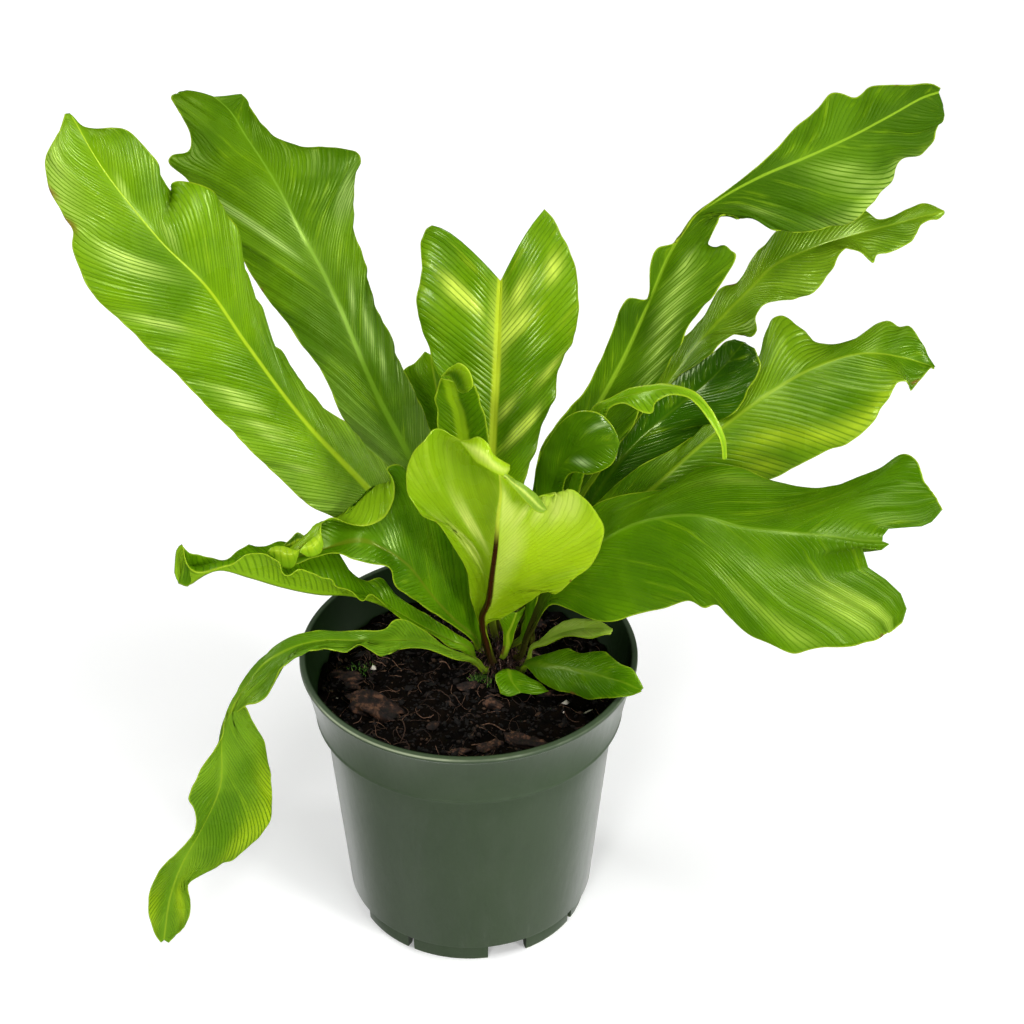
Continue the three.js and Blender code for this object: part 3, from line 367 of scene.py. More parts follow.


# The fronds. Each has the azimuth and elevation of its seat on the crown, the points of its midrib and
# margins in millimetres (x,y,z in turn, from stalk to tip, left and right as seen with the upper face up)
# and what its look changes. An end is the outline past the midrib's tip. A fold is a line that one half
# bends over. Spots of painted light (patches coloured lighter as painted highlights), folds and burns are
# soft spots: each has its vein, its place across, its reach in veins, its reach across and its height.
FRONDS = {
    "frond_left_front_tall": dict(
        seat=(164, 54),
        rib=(0,20,156, -13,21,174, -44,16,221, -72,8,265, -94,1,308, -109,-3,339, -127,-5,363,
            -147,-5,395, -160,-1,420),
        left=(-3,17,155, -23,10,180, -43,6,202, -60,2,216, -71,-2,227, -96,-13,266, -120,-21,304,
            -141,-26,334, -151,-27,347, -157,-27,360, -160,-25,370, -159,-24,378, -163,-22,385,
            -168,-18,394, -169,-14,406, -163,-8,416, -161,-3,421),
        right=(3,22,159, -6,26,177, -39,30,228, -53,30,245, -73,29,270, -86,27,297, -93,24,326,
            -99,19,359, -106,14,376, -114,10,382, -121,8,382, -120,8,376, -125,8,386, -129,7,396,
            -137,5,408, -144,3,411, -154,1,412, -159,-1,419),
        look=dict(dark=(.098, .232, .001), light=(.183, .362, .003), rib_width=2.2, rib_width_tip=.4,
            rib_colour=(.5, .68, .02), painted_light_colour=(.62, .82, .16), painted_light_furrow=.1,
            painted_light_spots=(16,0,20,3,.36, 90.2,-.47,1.5,.2,.9, 87.6,-.5,1.1,.2,.6, 106.1,.08,1.6,.06,.7,
                93.5,.14,2,.08,.6, 74.2,-.74,1.5,.16,.9, 58.4,-.65,1.2,.14,.9, 55.6,-.62,1.2,.14,.9,
                49.7,-.62,1.3,.13,.9, 46.4,-.62,1.2,.12,.7, 37.3,-.65,1.5,.12,.5, 103,-.8,6,.22,.5,
                95,-.9,5,.12,.4),
            burns=(95.9,-1,1,.05,1, 90.5,-1,1.4,.05,1))),
    "frond_left_back_tall": dict(
        seat=(146, 36),
        rib=(2,30,155, -11,38,184, -26,43,219, -42,50,252, -60,60,298, -71,63,322, -82,68,345, -90,73,358,
            -97,77,368, -103,81,377, -111,85,383),
        left=(0,29,155, -17,36,181, -35,39,205, -54,43,237, -67,47,267, -87,51,298, -115,58,346,
            -122,60,356, -129,62,364, -121,66,367, -120,69,373, -125,74,382, -128,77,387, -122,83,387),
        right=(4,31,155, -3,41,188, -13,49,220, -26,60,249, -42,70,288, -48,74,313, -51,80,325,
            -51,83,334, -50,87,342, -47,90,350, -49,90,353, -57,89,355, -68,85,358, -76,83,361,
            -83,82,364, -88,83,368, -93,86,373, -96,90,378, -99,90,382),
        right_end=(-106,87,382, -99,90,382),
        look=dict(dark=(.068, .167, .002), light=(.135, .28, .004), rib_width=2.2,
            rib_colour=(.2, .38, .02), vein_step=2.4, painted_light_colour=(.55, .75, .2), painted_light_furrow=.1,
            coat=0, shine=.4,
            painted_light_spots=(14,0,20,3,.55, 82.5,-.7,1.4,.2,.9, 81.8,-.42,1.4,.16,.8, 79.7,.75,3,.15,.55,
                76,.92,2,.1,.6, 68.2,.37,1.6,.12,.7, 60.8,.51,1.6,.12,.8, 57.3,.51,1.2,.12,.7,
                52.3,.52,1.5,.12,.7))),
    "frond_centre_forked": dict(
        seat=(96, 44),
        rib=(11,18,160, 10,20,202, 11,28,235, 13,40,270, 14,48,291, 15,54,308),
        left=(9,18,160, 4,19,200, -4,26,236, -11,35,265, -17,40,281, -21,44,293, -22,47,305, -20,51,315,
            -20,55,326, -18,57,332, -15,58,334),
        left_end=(8,55,317, 0,57,325, -6,58,330, -11,58,333, -15,58,334),
        right=(13,19,160, 18,19,196, 25,26,218, 33,34,240, 38,39,254, 42,43,271, 48,46,284, 49,49,298,
            49,53,312, 45,56,323, 38,60,336, 34,62,340),
        right_end=(19,56,317, 23,58,325, 28,60,333, 34,62,340),
        look=dict(dark=(.1, .245, .001), light=(.19, .375, .002), streak=.3, coat=.2,
            streak_colour=(.62, .78, .03), rib_width=2.2, rib_width_tip=2.6, rib=.95,
            rib_colour=(.62, .76, .03), rib_low=(.2, .2, .02), rib_fade=.3, vein_step=2.4, vein_sweep=.25,
            painted_light_colour=(.7, .86, .1),
            painted_light_spots=(66.9,-.64,1.4,.13,1.1, 67.2,-.49,1.4,.13,1.2, 67.6,-.33,1.1,.1,1,
                69.6,.33,1.9,.15,1.3, 65.6,.18,1.6,.12,1.3, 64.7,.33,1.2,.1,1, 66.6,.78,1.5,.1,1.2,
                51.2,.18,1.4,.12,1.2, 43.8,.34,1.6,.12,1.2, 43.3,.49,1.6,.12,1.3, 43.1,.64,1.5,.1,1.1,
                50.3,.78,1.6,.14,1.1, 68.9,0,7,.1,.9))),
    "frond_back_dark": dict(
        seat=(122, 24),
        rib=(6,37,148, -1,50,181, -9,62,206, -14,72,233, -18,79,254),
        left=(4,37,147, -9,52,180, -21,64,207, -29,72,233, -31,76,246, -25,77,250, -20,78,256),
        right=(8,37,149, 4,49,176, -1,60,203, -7,71,228, -12,76,243, -17,80,253),
        look=dict(dark=(.11, .26, .001), light=(.2, .41, .001))),
    "frond_centre_curled": dict(
        seat=(150, 76),
        rib=(9,14,166, 6,14,195, 3,15,227, -2,16,251, -3,17,258, -4,18,264, -6,18,270, -7,17,277,
            -8,15,281),
        left=(7,13,166, 1,12,198, -6,13,230, -13,16,256, -13,17,264, -14,17,270, -13,17,275, -12,16,279,
            -11,15,282),
        right=(11,14,166, 10,14,195, 11,16,230, 9,17,254, 8,17,261, 6,17,267, 5,17,272, 4,16,277,
            2,15,279),
        look=dict(dark=(.085, .21, .001), light=(.148, .315, .002), edge_width=1, nicks=0,
            edge_colour=(.46, .64, .02), rib_width=2.6, rib_width_tip=3, rib=.8,
            rib_colour=(.36, .58, .01), shade=.6, shine=.35)),
    "frond_front_young": dict(
        seat=(250, 42),
        rib=(6,2,159, 9,-4,173, 11,-13,196, 13,-22,220, 14,-27,239, 15,-27,250, 14,-24,260),
        left=(8,2,158, 15,-1,162, 28,-10,178, 35,-18,190, 40,-22,192, 47,-27,203, 55,-30,214, 59,-32,225,
            60,-31,233, 57,-30,241, 51,-28,248, 46,-27,252, 41,-25,248, 36,-25,246, 31,-26,246,
            28,-26,250, 24,-25,253, 20,-24,256, 15,-23,260),
        right=(4,2,160, 2,-4,175, 0,-12,196, -3,-18,209, -8,-23,222, -13,-27,234, -19,-29,239,
            -24,-30,250, -25,-29,259, -23,-27,269, -18,-25,277, -14,-24,281, -11,-24,281, -7,-25,279,
            -2,-25,275, 2,-27,271, 7,-28,266, 11,-26,262),
        look=dict(dark=(.34, .56, .004), light=(.5, .73, .012), line=.14, vein_depth=.05,
            painted_light_furrow=.9, shade=.55, shade_colour=(.14, .3, .002), rib_dark=1, rib=1, through=.36,
            streak_colour=(.6, .78, .06), rib_colour=(.55, .7, .05), pale_under=0, rib_width=2.4,
            rib_width_tip=.5, rib_depth=1.5, rib_low=(.05, .014, .004), rib_under=(.6, .72, .05),
            rib_fade=.68, stalk=.95, stalk_colour=DARK_STALK, painted_light_colour=(.74, .86, .16),
            painted_light_spots=(41,-.13,4,.1,1.1, 37.5,-.2,1.6,.12,1, 33.6,-.35,1.4,.13,1, 29.4,-.5,1.4,.13,1,
                26.6,-.68,1.4,.15,1, 24.2,-.84,1.6,.15,.8, 28,-.12,12,.09,1, 27,.36,1.2,.12,1.1,
                29,.24,1.2,.12,1.2, 16.8,.64,.9,.14,1.1, 19.5,.5,.9,.1,1.2, 20.6,.35,.9,.1,1.1,
                13.8,.66,.8,.13,.7, 15.7,.51,.8,.1,.9, 17.3,.35,.8,.1,.8),
            folds=(33.6,-.35,2,.18,-1.2, 29.4,-.5,2,.18,-1.3, 26.3,-.68,2,.2,-1.2, 31.6,-.35,1,.18,.7,
                27.4,-.5,1,.18,.7, 24,.05,20,.08,-.5))),
    "frond_left_ruffled": dict(
        seat=(188, 44),
        rib=(3,8,144, -6,2,158, -17,-4,178, -27,-9,198, -38,-12,209, -47,-15,215, -62,-18,213,
            -76,-24,212, -84,-27,214),
        left=(1,6,144, -13,-4,165, -25,-12,181, -32,-16,192, -35,-19,204, -42,-21,207, -50,-23,211,
            -57,-24,215, -66,-26,215, -75,-28,212, -82,-26,210),
        right_fold=(4,9,144, 0,9,159, -9,6,178, -19,5,199, -28,5,218, -35,5,230, -42,5,232, -50,1,225,
            -57,-3,220, -64,-8,220, -73,-14,216, -80,-21,214, -85,-25,214),
        right=(5,10,144, 3,14,161, -2,14,183, -9,13,204, -17,11,224, -25,9,236, -32,6,242, -36,2,242,
            -33,-3,239, -32,-6,233, -34,-9,227, -38,-10,223, -45,-12,221, -52,-13,223, -59,-12,226,
            -64,-14,225, -65,-16,221, -68,-18,219, -71,-19,217, -74,-21,215, -78,-24,214, -83,-26,216),
        look=dict(dark=(.052, .157, .001), light=(.115, .27, .002), under_colour=(.32, .56, .01),
            pale_under=.85, stalk=.2, rib_width=.9, rib=.5, rib_colour=(.2, .22, .01), line=.2)),
    "frond_left_low": dict(
        seat=(205, 24),
        rib=(-1,3,142, -8,1,147, -16,-2,154, -29,-8,168, -39,-14,180, -52,-22,191, -65,-29,197,
            -80,-36,206, -94,-41,215, -106,-44,221, -114,-47,220, -120,-50,217, -124,-52,220),
        left=(-3,1,141, -9,-2,146, -17,-5,156, -28,-11,167, -37,-18,182, -43,-24,192, -46,-29,193,
            -51,-33,201, -55,-37,207, -59,-40,213, -63,-42,215, -68,-44,218, -72,-46,222, -77,-48,222,
            -81,-49,230, -86,-50,234, -93,-51,234, -98,-52,231, -106,-55,229, -115,-57,230, -119,-55,234,
            -121,-52,240),
        left_end=(-126,-52,224, -126,-51,229, -125,-49,235, -122,-50,239, -121,-52,240),
        right=(1,6,142, -6,4,149, -16,1,160, -26,-3,171, -31,-5,177, -35,-6,183, -40,-6,188, -46,-8,188,
            -51,-8,192, -58,-7,203, -67,-7,208, -76,-7,208, -85,-11,212, -92,-17,215, -98,-27,220,
            -105,-38,222, -111,-44,228, -118,-51,235, -121,-52,240),
        look=dict(dark=(.084, .215, .001), light=(.155, .35, .002), under_colour=(.28, .5, .01),
            pale_under=.8, stalk=.2, rib=.5, rib_width=1, vein_step=2.8, vein_sweep=.4, line=.5,
            line_reach=-.4)),
    "frond_left_drooping": dict(
        seat=(234, 22),
        rib=(3,1,136, -6,-5,144, -20,-14,158, -32,-24,167, -49,-34,174, -64,-42,180, -77,-47,180,
            -89,-53,176, -97,-57,166, -106,-60,152, -109,-62,143, -111,-64,116, -121,-67,92, -130,-71,75,
            -136,-75,59, -140,-81,37),
        left=(2,0,135, -6,-9,144, -20,-20,159, -32,-30,166, -38,-36,167, -43,-38,172, -48,-40,177,
            -53,-43,175, -58,-45,177, -65,-47,180, -73,-53,181, -81,-59,179, -84,-62,172, -90,-64,164,
            -97,-62,160, -105,-58,150, -99,-58,157, -95,-56,146, -91,-55,135, -90,-54,127, -90,-54,117,
            -89,-54,107, -88,-55,99, -93,-59,85, -100,-62,78, -109,-66,71, -123,-70,67, -128,-72,63,
            -127,-73,54, -129,-76,44, -138,-81,35),
        right=(4,2,136, -6,-3,144, -12,-8,152, -19,-16,166, -28,-22,177, -33,-27,180, -37,-29,177,
            -49,-31,178, -71,-38,182, -80,-41,181, -89,-46,176, -96,-50,169, -102,-53,161, -107,-60,152,
            -108,-67,147, -115,-71,136, -124,-72,116, -122,-72,105, -123,-72,95, -133,-73,82, -141,-74,72,
            -146,-78,56, -144,-81,42, -141,-82,36),
        look=dict(dark=(.1, .235, .006), light=(.2, .38, .015), stalk=.2, rib=.5, rib_width=1,
            vein_step=2.4, vein_sweep=2.6, line=.65, line_reach=-.3, painted_light_colour=(.48, .66, .01),
            painted_light_spots=(66,-.95,8,.22,.8, 76.6,-.75,6,.2,.6, 100,-.5,6,.3,.5, 107,.9,6,.4,.5))),
    "frond_right_tall": dict(
        seat=(72, 38),
        rib=(26,23,154, 42,31,217, 55,36,246, 71,42,278, 83,53,304, 91,60,321, 100,66,333, 112,70,341,
            129,76,348, 151,84,354, 171,92,360, 188,98,367, 202,103,373, 210,105,375),
        left=(25,24,155, 30,29,216, 34,31,237, 42,32,249, 54,36,265, 64,43,286, 71,49,302, 80,50,301,
            81,55,315, 84,58,322, 93,61,324, 102,66,335, 124,75,350, 136,82,358, 145,89,366, 155,94,372,
            161,99,377, 172,100,375, 179,103,379, 194,105,378, 206,107,378, 211,106,376),
        right=(28,22,155, 49,32,205, 69,37,234, 88,41,269, 99,41,293, 106,45,302, 114,48,313, 118,50,323,
            116,52,325, 114,54,326, 111,57,324, 107,60,323, 108,61,327, 110,62,332, 112,63,335,
            115,65,335, 118,66,334, 121,67,332, 128,69,330, 137,71,324, 145,73,322, 159,78,320,
            170,83,320, 181,89,327, 190,95,334, 194,98,343, 204,101,347, 209,103,354, 213,105,362,
            212,106,368),
        look=dict(dark=(.044, .118, .001), light=(.09, .208, .002), rib_width=2, rib_colour=(.3, .5, .02),
            vein_depth=.07, line=.45, ripple=.6, shine=.15, coat=0, rough=.36,
            painted_light_colour=(.5, .7, .12), painted_light_furrow=.1,
            painted_light_spots=(96,1,8,.16,.8, 101.4,.34,2.4,.16,.5, 99,.64,2,.15,.5, 83.4,.54,1.6,.12,.3,
                67.2,.34,1.6,.12,.8, 63.3,.36,1.4,.12,1, 59.5,.42,1.4,.12,1, 55.9,.5,1.4,.12,1,
                51.5,.58,1.3,.12,1, 47.7,.65,1.3,.12,.9, 43.5,.72,1.2,.1,.8, 40,.79,1.2,.1,.5))),
    "frond_right_back": dict(
        seat=(45, 24),
        rib=(28,31,152, 51,40,199, 79,58,231, 106,76,262, 129,90,282, 140,96,291, 160,104,296,
            177,111,298, 195,117,300, 221,125,303),
        left=(26,32,152, 42,42,192, 60,60,227, 83,73,249, 102,84,262, 117,95,280, 124,96,282, 134,104,296,
            152,112,308, 168,117,309, 182,119,307, 189,119,302, 205,125,305, 212,127,306, 221,125,303),
        right=(30,30,152, 61,39,195, 90,52,230, 114,70,264, 121,75,267, 129,77,264, 132,79,266,
            132,82,271, 134,84,276, 137,86,277, 143,88,277, 150,91,276, 157,93,278, 162,95,281,
            165,97,284, 168,98,290, 170,99,295, 173,100,297, 176,101,296, 181,102,294, 186,102,289,
            188,104,292, 194,106,292, 200,109,293, 204,112,294, 207,114,297, 209,117,300, 213,120,301,
            218,123,300, 221,125,302),
        look=dict(dark=(.092, .205, .003), light=(.185, .33, .008), rib=.35, stalk=.95,
            stalk_colour=DARK_STALK, pale_under=.2)),
    "frond_right_mid": dict(
        seat=(6, 23),
        rib=(30,14,158, 47,13,187, 65,13,207, 83,18,221, 102,25,237, 123,33,252, 143,42,262, 157,46,268,
            176,50,272, 195,52,269, 211,54,262),
        left=(29,16,158, 42,15,192, 60,17,216, 77,23,229, 95,31,235, 105,42,237, 131,57,267, 133,60,270,
            134,62,274, 136,64,278, 138,66,281, 142,67,282, 145,66,281, 148,64,278, 153,63,274,
            157,62,271, 162,61,271, 168,62,271, 177,63,274, 183,64,277, 190,65,280, 195,65,277,
            199,64,278, 202,62,276, 206,60,271, 209,58,265, 212,56,261),
        right=(31,12,158, 55,9,180, 78,9,200, 105,13,213, 136,19,225, 150,22,231, 162,24,237, 176,27,244,
            183,30,250, 186,33,254, 189,36,258, 191,38,261, 193,40,263, 196,41,263, 198,42,261,
            199,42,258, 201,44,259, 204,46,261, 207,49,263, 209,51,264, 211,53,262),
        look=dict(dark=(.08, .2, .002), light=(.17, .32, .006), rib=.55, rib_width=2.2, stalk=.95,
            stalk_colour=DARK_STALK, line=.4, line_reach=-.5, vein_step=3.4,
            painted_light_colour=(.46, .62, .02),
            painted_light_spots=(41.3,.5,1.4,.12,.5, 45.5,.5,2.4,.16,.8, 40,.79,2,.15,.8, 48.5,.78,2.4,.16,.9,
                53,.9,3,.13,.8, 58,.92,3,.12,.5),
            burns=(65.3,.9,.8,.08,1))),
    "frond_right_front_large": dict(
        seat=(322, 40), arch=0.06,
        rib=(28,0,153, 39,-4,180, 49,-11,201, 61,-16,217, 73,-20,228, 89,-25,236, 102,-29,239,
            119,-34,237, 138,-39,238, 158,-43,238, 170,-46,238, 179,-48,239),
        left=(27,1,154, 35,-1,182, 44,-2,205, 57,-1,225, 67,0,229, 81,-1,233, 88,-1,234, 96,1,239,
            103,2,243, 118,0,245, 128,-4,244, 145,-11,242, 155,-14,243, 166,-17,249, 178,-19,257,
            189,-21,266, 193,-24,265, 197,-30,259, 202,-35,253, 205,-39,249),
        left_end=(180,-46,243, 188,-44,243, 199,-42,243, 205,-39,249),
        right=(29,-1,152, 38,-11,177, 46,-17,179, 55,-25,180, 64,-31,183, 74,-34,189, 87,-38,195,
            98,-42,203, 104,-46,202, 109,-47,204, 115,-51,200, 123,-55,194, 134,-60,192, 143,-63,190,
            152,-65,194, 168,-69,199, 181,-71,207, 187,-71,213),
        right_end=(184,-49,237, 181,-49,235, 171,-49,237, 172,-54,231, 177,-57,228, 183,-60,225,
            189,-66,219, 187,-71,213),
        look=dict(dark=(.066, .178, .001), light=(.118, .265, .002), rib_width=1.3, rib=.5,
            rib_colour=(.2, .36, .02), vein_step=3, vein_depth=.02, line=.3, ripple=.2, shine=.35,
            coat=.03, stalk_colour=DARK_STALK, stalk=.9, stalk_from=.12, stalk_to=.26,
            painted_light_colour=(.46, .66, .07), painted_light_furrow=.5,
            painted_light_spots=(63.1,.78,3,.22,1, 53.3,.8,2.4,.16,.8, 57.5,.66,2.4,.15,.8, 42.4,.85,2,.12,.6,
                40.3,.64,1.5,.12,.4, 32.7,-.79,2.5,.15,.4))),
    "frond_right_rolled": dict(
        seat=(308, 66),
        rib=(25,6,146, 30,6,190, 35,6,218, 42,4,243, 50,-1,255, 58,-5,260, 64,-7,262, 67,-8,263),
        left=(24,7,146, 27,8,188, 29,10,224, 32,10,241, 36,9,253, 42,6,265, 49,2,273, 57,-2,275,
            63,-5,271, 66,-7,266),
        right=(26,5,145, 35,4,186, 41,3,212, 44,1,238, 48,-3,244, 54,-6,245, 60,-8,249, 64,-9,253,
            66,-9,259),
        look=dict(dark=(.053, .15, .001), light=(.107, .247, .003), coat=.6, rough=.2, line=.12,
            painted_light_colour=(.55, .72, .3), vein_depth=.02, rib=0, rib_depth=0, ripple=.1, frill=.2,
            painted_light_spots=(45.7,.47,1.1,.16,1, 43.3,-.7,.9,.16,.7))),
    "frond_right_arched": dict(
        seat=(350, 48),
        rib=(26,9,150, 33,7,168, 42,9,205, 50,12,235, 55,15,254, 61,12,269, 71,6,278, 82,0,285, 92,-6,289,
            101,-11,286, 107,-15,278, 111,-17,269, 112,-17,260),
        left=(25,10,150, 32,9,168, 40,12,202, 48,15,234, 53,18,255, 56,16,266, 64,12,274, 72,7,282,
            82,2,287, 91,-4,290, 98,-8,290, 102,-11,288, 108,-14,280, 112,-16,270, 113,-17,261),
        right=(27,8,150, 34,6,168, 44,6,206, 53,8,237, 59,9,255, 62,5,271, 69,0,278, 75,-5,278, 80,-8,279,
            82,-8,284, 89,-10,289, 96,-13,289, 102,-16,284, 108,-18,275, 110,-19,269, 111,-18,261),
        look=dict(dark=(.2, .42, .004), light=(.3, .56, .012), edge_width=1.2, rib=.3,
            edge_colour=(.46, .64, .025))),
    "frond_right_glossy": dict(
        seat=(38, 52),
        rib=(28,19,150, 42,24,176, 60,35,209, 78,41,232, 96,45,248, 113,47,264, 124,46,281),
        left=(27,20,150, 38,24,179, 53,33,207, 70,43,230, 85,51,248, 97,56,258, 110,56,268, 116,54,276,
            120,50,280),
        right=(29,18,150, 48,24,174, 65,30,201, 79,37,214, 94,42,218, 104,40,232, 112,33,246, 121,29,256,
            126,30,267, 130,34,277, 128,41,281),
        look=dict(dark=(.015, .062, .001), light=(.036, .125, .002), coat=.25, rough=.22, rib=.1,
            stalk=.95, stalk_colour=DARK_STALK)),
    "frond_front_small": dict(
        seat=(272, 22),
        rib=(18,0,131, 20,-7,129, 24,-12,127),
        left=(20,0,131, 24,-2,131, 29,-5,130, 34,-8,129, 37,-11,127),
        left_end=(31,-13,126, 37,-11,127),
        right=(16,0,131, 13,-3,131, 12,-7,130, 13,-10,129, 15,-13,127),
        right_end=(19,-14,126, 15,-13,127),
        look=dict(dark=(.07, .2, .001), light=(.14, .33, .002), vein_step=2, rib=.3, edge=.5)),
    "frond_right_front_small": dict(
        seat=(312, 20),
        rib=(27,2,133, 33,-4,137, 47,-16,144, 60,-27,149, 71,-36,152, 78,-40,151),
        left=(28,4,134, 37,-2,142, 45,-6,148, 53,-13,151, 62,-19,156, 69,-30,158, 74,-33,158, 77,-37,155,
            79,-40,152),
        right=(26,1,132, 33,-10,132, 40,-17,133, 47,-24,136, 54,-31,139, 62,-36,143, 68,-39,146,
            74,-40,148, 78,-41,151),
        look=dict(dark=(.055, .17, .001), light=(.14, .32, .002), vein_step=2.2, rib=.22, edge=.45,
            line=.2)),
    "frond_right_small": dict(
        seat=(340, 24),
        rib=(29,8,138, 35,6,143, 43,4,149, 53,1,154, 61,-3,157, 66,-5,158),
        left=(29,10,138, 34,10,142, 39,11,147, 45,11,151, 51,9,154, 59,5,156, 66,-3,157),
        right=(29,6,138, 36,2,144, 42,-1,150, 50,-5,154, 56,-8,156, 61,-9,158, 65,-7,157),
        # painted light: its tones are very pale, to lift the shade that falls on it under the fronds above
        look=dict(dark=(.62, .84, .1), light=(.76, .94, .16), vein_step=2, line=.2, rib=.2, through=.5)),
    "frond_front_strip": dict(
        seat=(276, 50),
        rib=(18,2,144, 18,2,150, 20,2,156, 22,3,162),
        left=(16,2,144, 16,2,150, 15,2,155, 14,2,161, 17,3,164),
        right=(20,3,144, 21,3,150, 23,3,156, 25,4,160, 26,5,164),
        look=dict(dark=(.1, .24, .001), light=(.18, .38, .003), vein_step=2)),
}

# Flaps: folded bits of blade between an upper and a lower line. Of each: the frond whose look it has, or
# a look of its own, how far it swells, place and width of its crest (painted lighter as a highlight, or
# darker as painted shade on the curl), how strong its vein lines are, whether its upper and lower edges
# are free, and its dark and light tones.
FLAPS = {
    "flap_front_tip": dict(
        of="frond_front_young", swell=2.2, crest=(.62, .22), line=0, free=(True, False),
        tones=((.3, .5, .002), (.46, .68, .006)),
        upper=(-2,-24,275, 2,-29,279, 6,-33,283, 10,-34,280, 12,-34,275, 16,-32,270, 19,-29,266),
        lower=(-2,-25,275, 1,-30,274, 4,-34,272, 8,-36,270, 12,-36,267, 17,-33,263, 19,-30,264)),
    "flap_front_side": dict(
        of="frond_front_young", swell=.8, crest=(.5, .1), line=0, free=(False, True),
        tones=((.24, .4, .03), (.32, .5, .05)),
        upper=(14,-32,265, 17,-33,264, 20,-31,260, 24,-30,257, 28,-29,253, 31,-28,249, 34,-27,243,
            35,-27,241),
        lower=(14,-33,264, 17,-34,262, 20,-34,258, 23,-33,253, 27,-32,247, 30,-31,243, 33,-30,241,
            35,-28,241)),
    "flap_centre_curl": dict(
        # painted shade: the curl's crest takes this dark colour, for the shaded inner face of the curl
        look=dict(painted_light_colour=(.05, .15, .001), painted_light_furrow=1, nicks=0, edge_width=.8,
            edge_colour=(.6, .78, .05), streak=0),
        swell=1, crest=(.7, .36), line=0, free=(True, True),
        tones=((.36, .58, .008), (.46, .7, .014)),
        upper=(-11,14,283, -8,11,289, -5,8,293, -3,5,296, 0,2,296, 2,0,294, 3,-1,291, 3,0,287, 1,2,283),
        lower=(-11,13,284, -9,13,284, -7,12,285, -6,10,284, -5,8,284, -4,6,282, -3,5,281, -1,4,281,
            0,3,282)),
    "flap_ruffle_upper": dict(
        of="frond_left_ruffled", swell=2, crest=(.35, .3), line=.12, free=(False, True),
        tones=((.17, .38, .004), (.28, .52, .01)),
        upper=(-64,-15,225, -65,-18,222, -68,-21,221, -71,-24,220, -73,-26,219),
        lower=(-64,-15,225, -64,-18,222, -63,-21,218, -64,-23,215, -66,-25,214, -70,-26,215,
            -73,-27,218)),
    "flap_ruffle_lower": dict(
        of="frond_left_ruffled", swell=2, crest=(.3, .3), line=.12, free=(False, True),
        tones=((.17, .38, .004), (.28, .52, .01)),
        upper=(-73,-26,219, -75,-27,219, -80,-28,222, -85,-29,222, -87,-30,220),
        lower=(-73,-26,219, -74,-28,216, -76,-30,212, -80,-32,213, -83,-32,216, -84,-31,218, -86,-31,220,
            -87,-30,219)),
    "flap_ruffle_tip": dict(
        of="frond_left_ruffled", swell=.6, crest=(.5, .1), line=.2, free=(True, False),
        tones=((.05, .14, .001), (.09, .22, .002)),
        upper=(-81,-16,214, -78,-14,216, -75,-12,218, -72,-13,217, -70,-15,217),
        lower=(-81,-16,213, -78,-17,212, -75,-17,212, -72,-17,213, -70,-16,215)),
}

# The usual look of a frond
USUAL_LOOK = dict(
    dark=(.085, .235, .001), light=(.17, .37, .002), streak=.35, streak_colour=(.34, .55, .01), line=.5,
    line_reach=-.7, line_colour=(.04, .13, .001), painted_light_colour=(.5, .7, .02), nicks=1, painted_light_furrow=.65,
    shade=0, shade_colour=(.06, .17, .001), rib_dark=.3, edge=.85, edge_width=.75, rib_width=1.5,
    rib_width_tip=.6, rib=.8, rib_depth=.9, rib_colour=(.36, .52, .02), rib_under=(.22, .3, .02),
    rib_low=(.17, .24, .015), rib_fade=.15, edge_colour=(.4, .56, .02), pale_under=.45,
    under_colour=(.16, .31, .01), stalk=.75, stalk_from=.03, stalk_to=.13, stalk_colour=(.075, .07, .012),
    rough=.26, shine=.55, coat=.07, glow=(.4, .66, .005), through=.3, vein_step=2.8, vein_sweep=1.5,
    vein_depth=.14, ripple=.5, frill=.7, painted_light_spots=(), folds=(), burns=())

def crown_place(azimuth, elevation, reach=1.0):
    """A place on the crown's dome, by angles in radians, and the way out from it."""
    way = direction(azimuth, elevation)
    return CROWN_CENTRE + way * CROWN_SIZE * reach, unit(way / CROWN_SIZE)


def frond_curves(frond):
    seat, out = crown_place(*map(math.radians, frond["seat"]))
    seat = seat - STALK_SINK * out
    width = np.subtract(frond["right"][:3], frond["left"][:3])
    width = unit(width - out * np.dot(width, out))
    curves = {}
    for key, side in (("rib", 0), ("left", -1), ("left_fold", -0.5), ("right", 1), ("right_fold", 0.5)):
        if key in frond:
            start = seat + width * side * STALK_HALF_WIDTH
            curves[key] = Curve(np.vstack([start, start + out * STALK_LIFT, triples(frond[key])]))
    for key in ("left_end", "right_end"):
        if key in frond:
            curves[key] = Curve(triples([*frond["rib"][-3:], *frond[key]]))
    return curves


def blade_half(arch, curves, side, share, along):
    """Points of the middle surface of one half: share runs from 0 at the midrib to 1 at the margin."""
    rib = curves["rib"].at(along)
    margin = curves[side].at(along)
    if side + "_fold" in curves:
        place = folded(rib, curves[side + "_fold"].at(along), margin, share[..., None])
    else:
        place = rib + (margin - rib) * share[..., None]
    spread = curves["right"].at(along) - curves["left"].at(along)
    face = unit(np.cross(spread, curves["rib"].tangent(along)))
    width = np.linalg.norm(margin - rib, axis=-1)
    place = place + face * (arch * width * 4 * share * (1 - share))[..., None]
    if side + "_end" in curves:
        tip = np.ones_like(along)
        straight = curves["rib"].at(tip)
        straight = straight + (curves[side].at(tip) - straight) * share[..., None]
        weight = smoothstep(along, END_START, 1)[..., None]
        place = place + (curves[side + "_end"].at(share) - straight) * weight
    return place, width


def folded(rib, fold, margin, share):
    """The line from midrib over the fold to the margin."""
    first = centripetal_span(2 * rib - fold, rib, fold, margin, share * 2)
    second = centripetal_span(rib, fold, margin, 2 * margin - fold, share * 2 - 1)
    return np.where(share < 0.5, first, second)


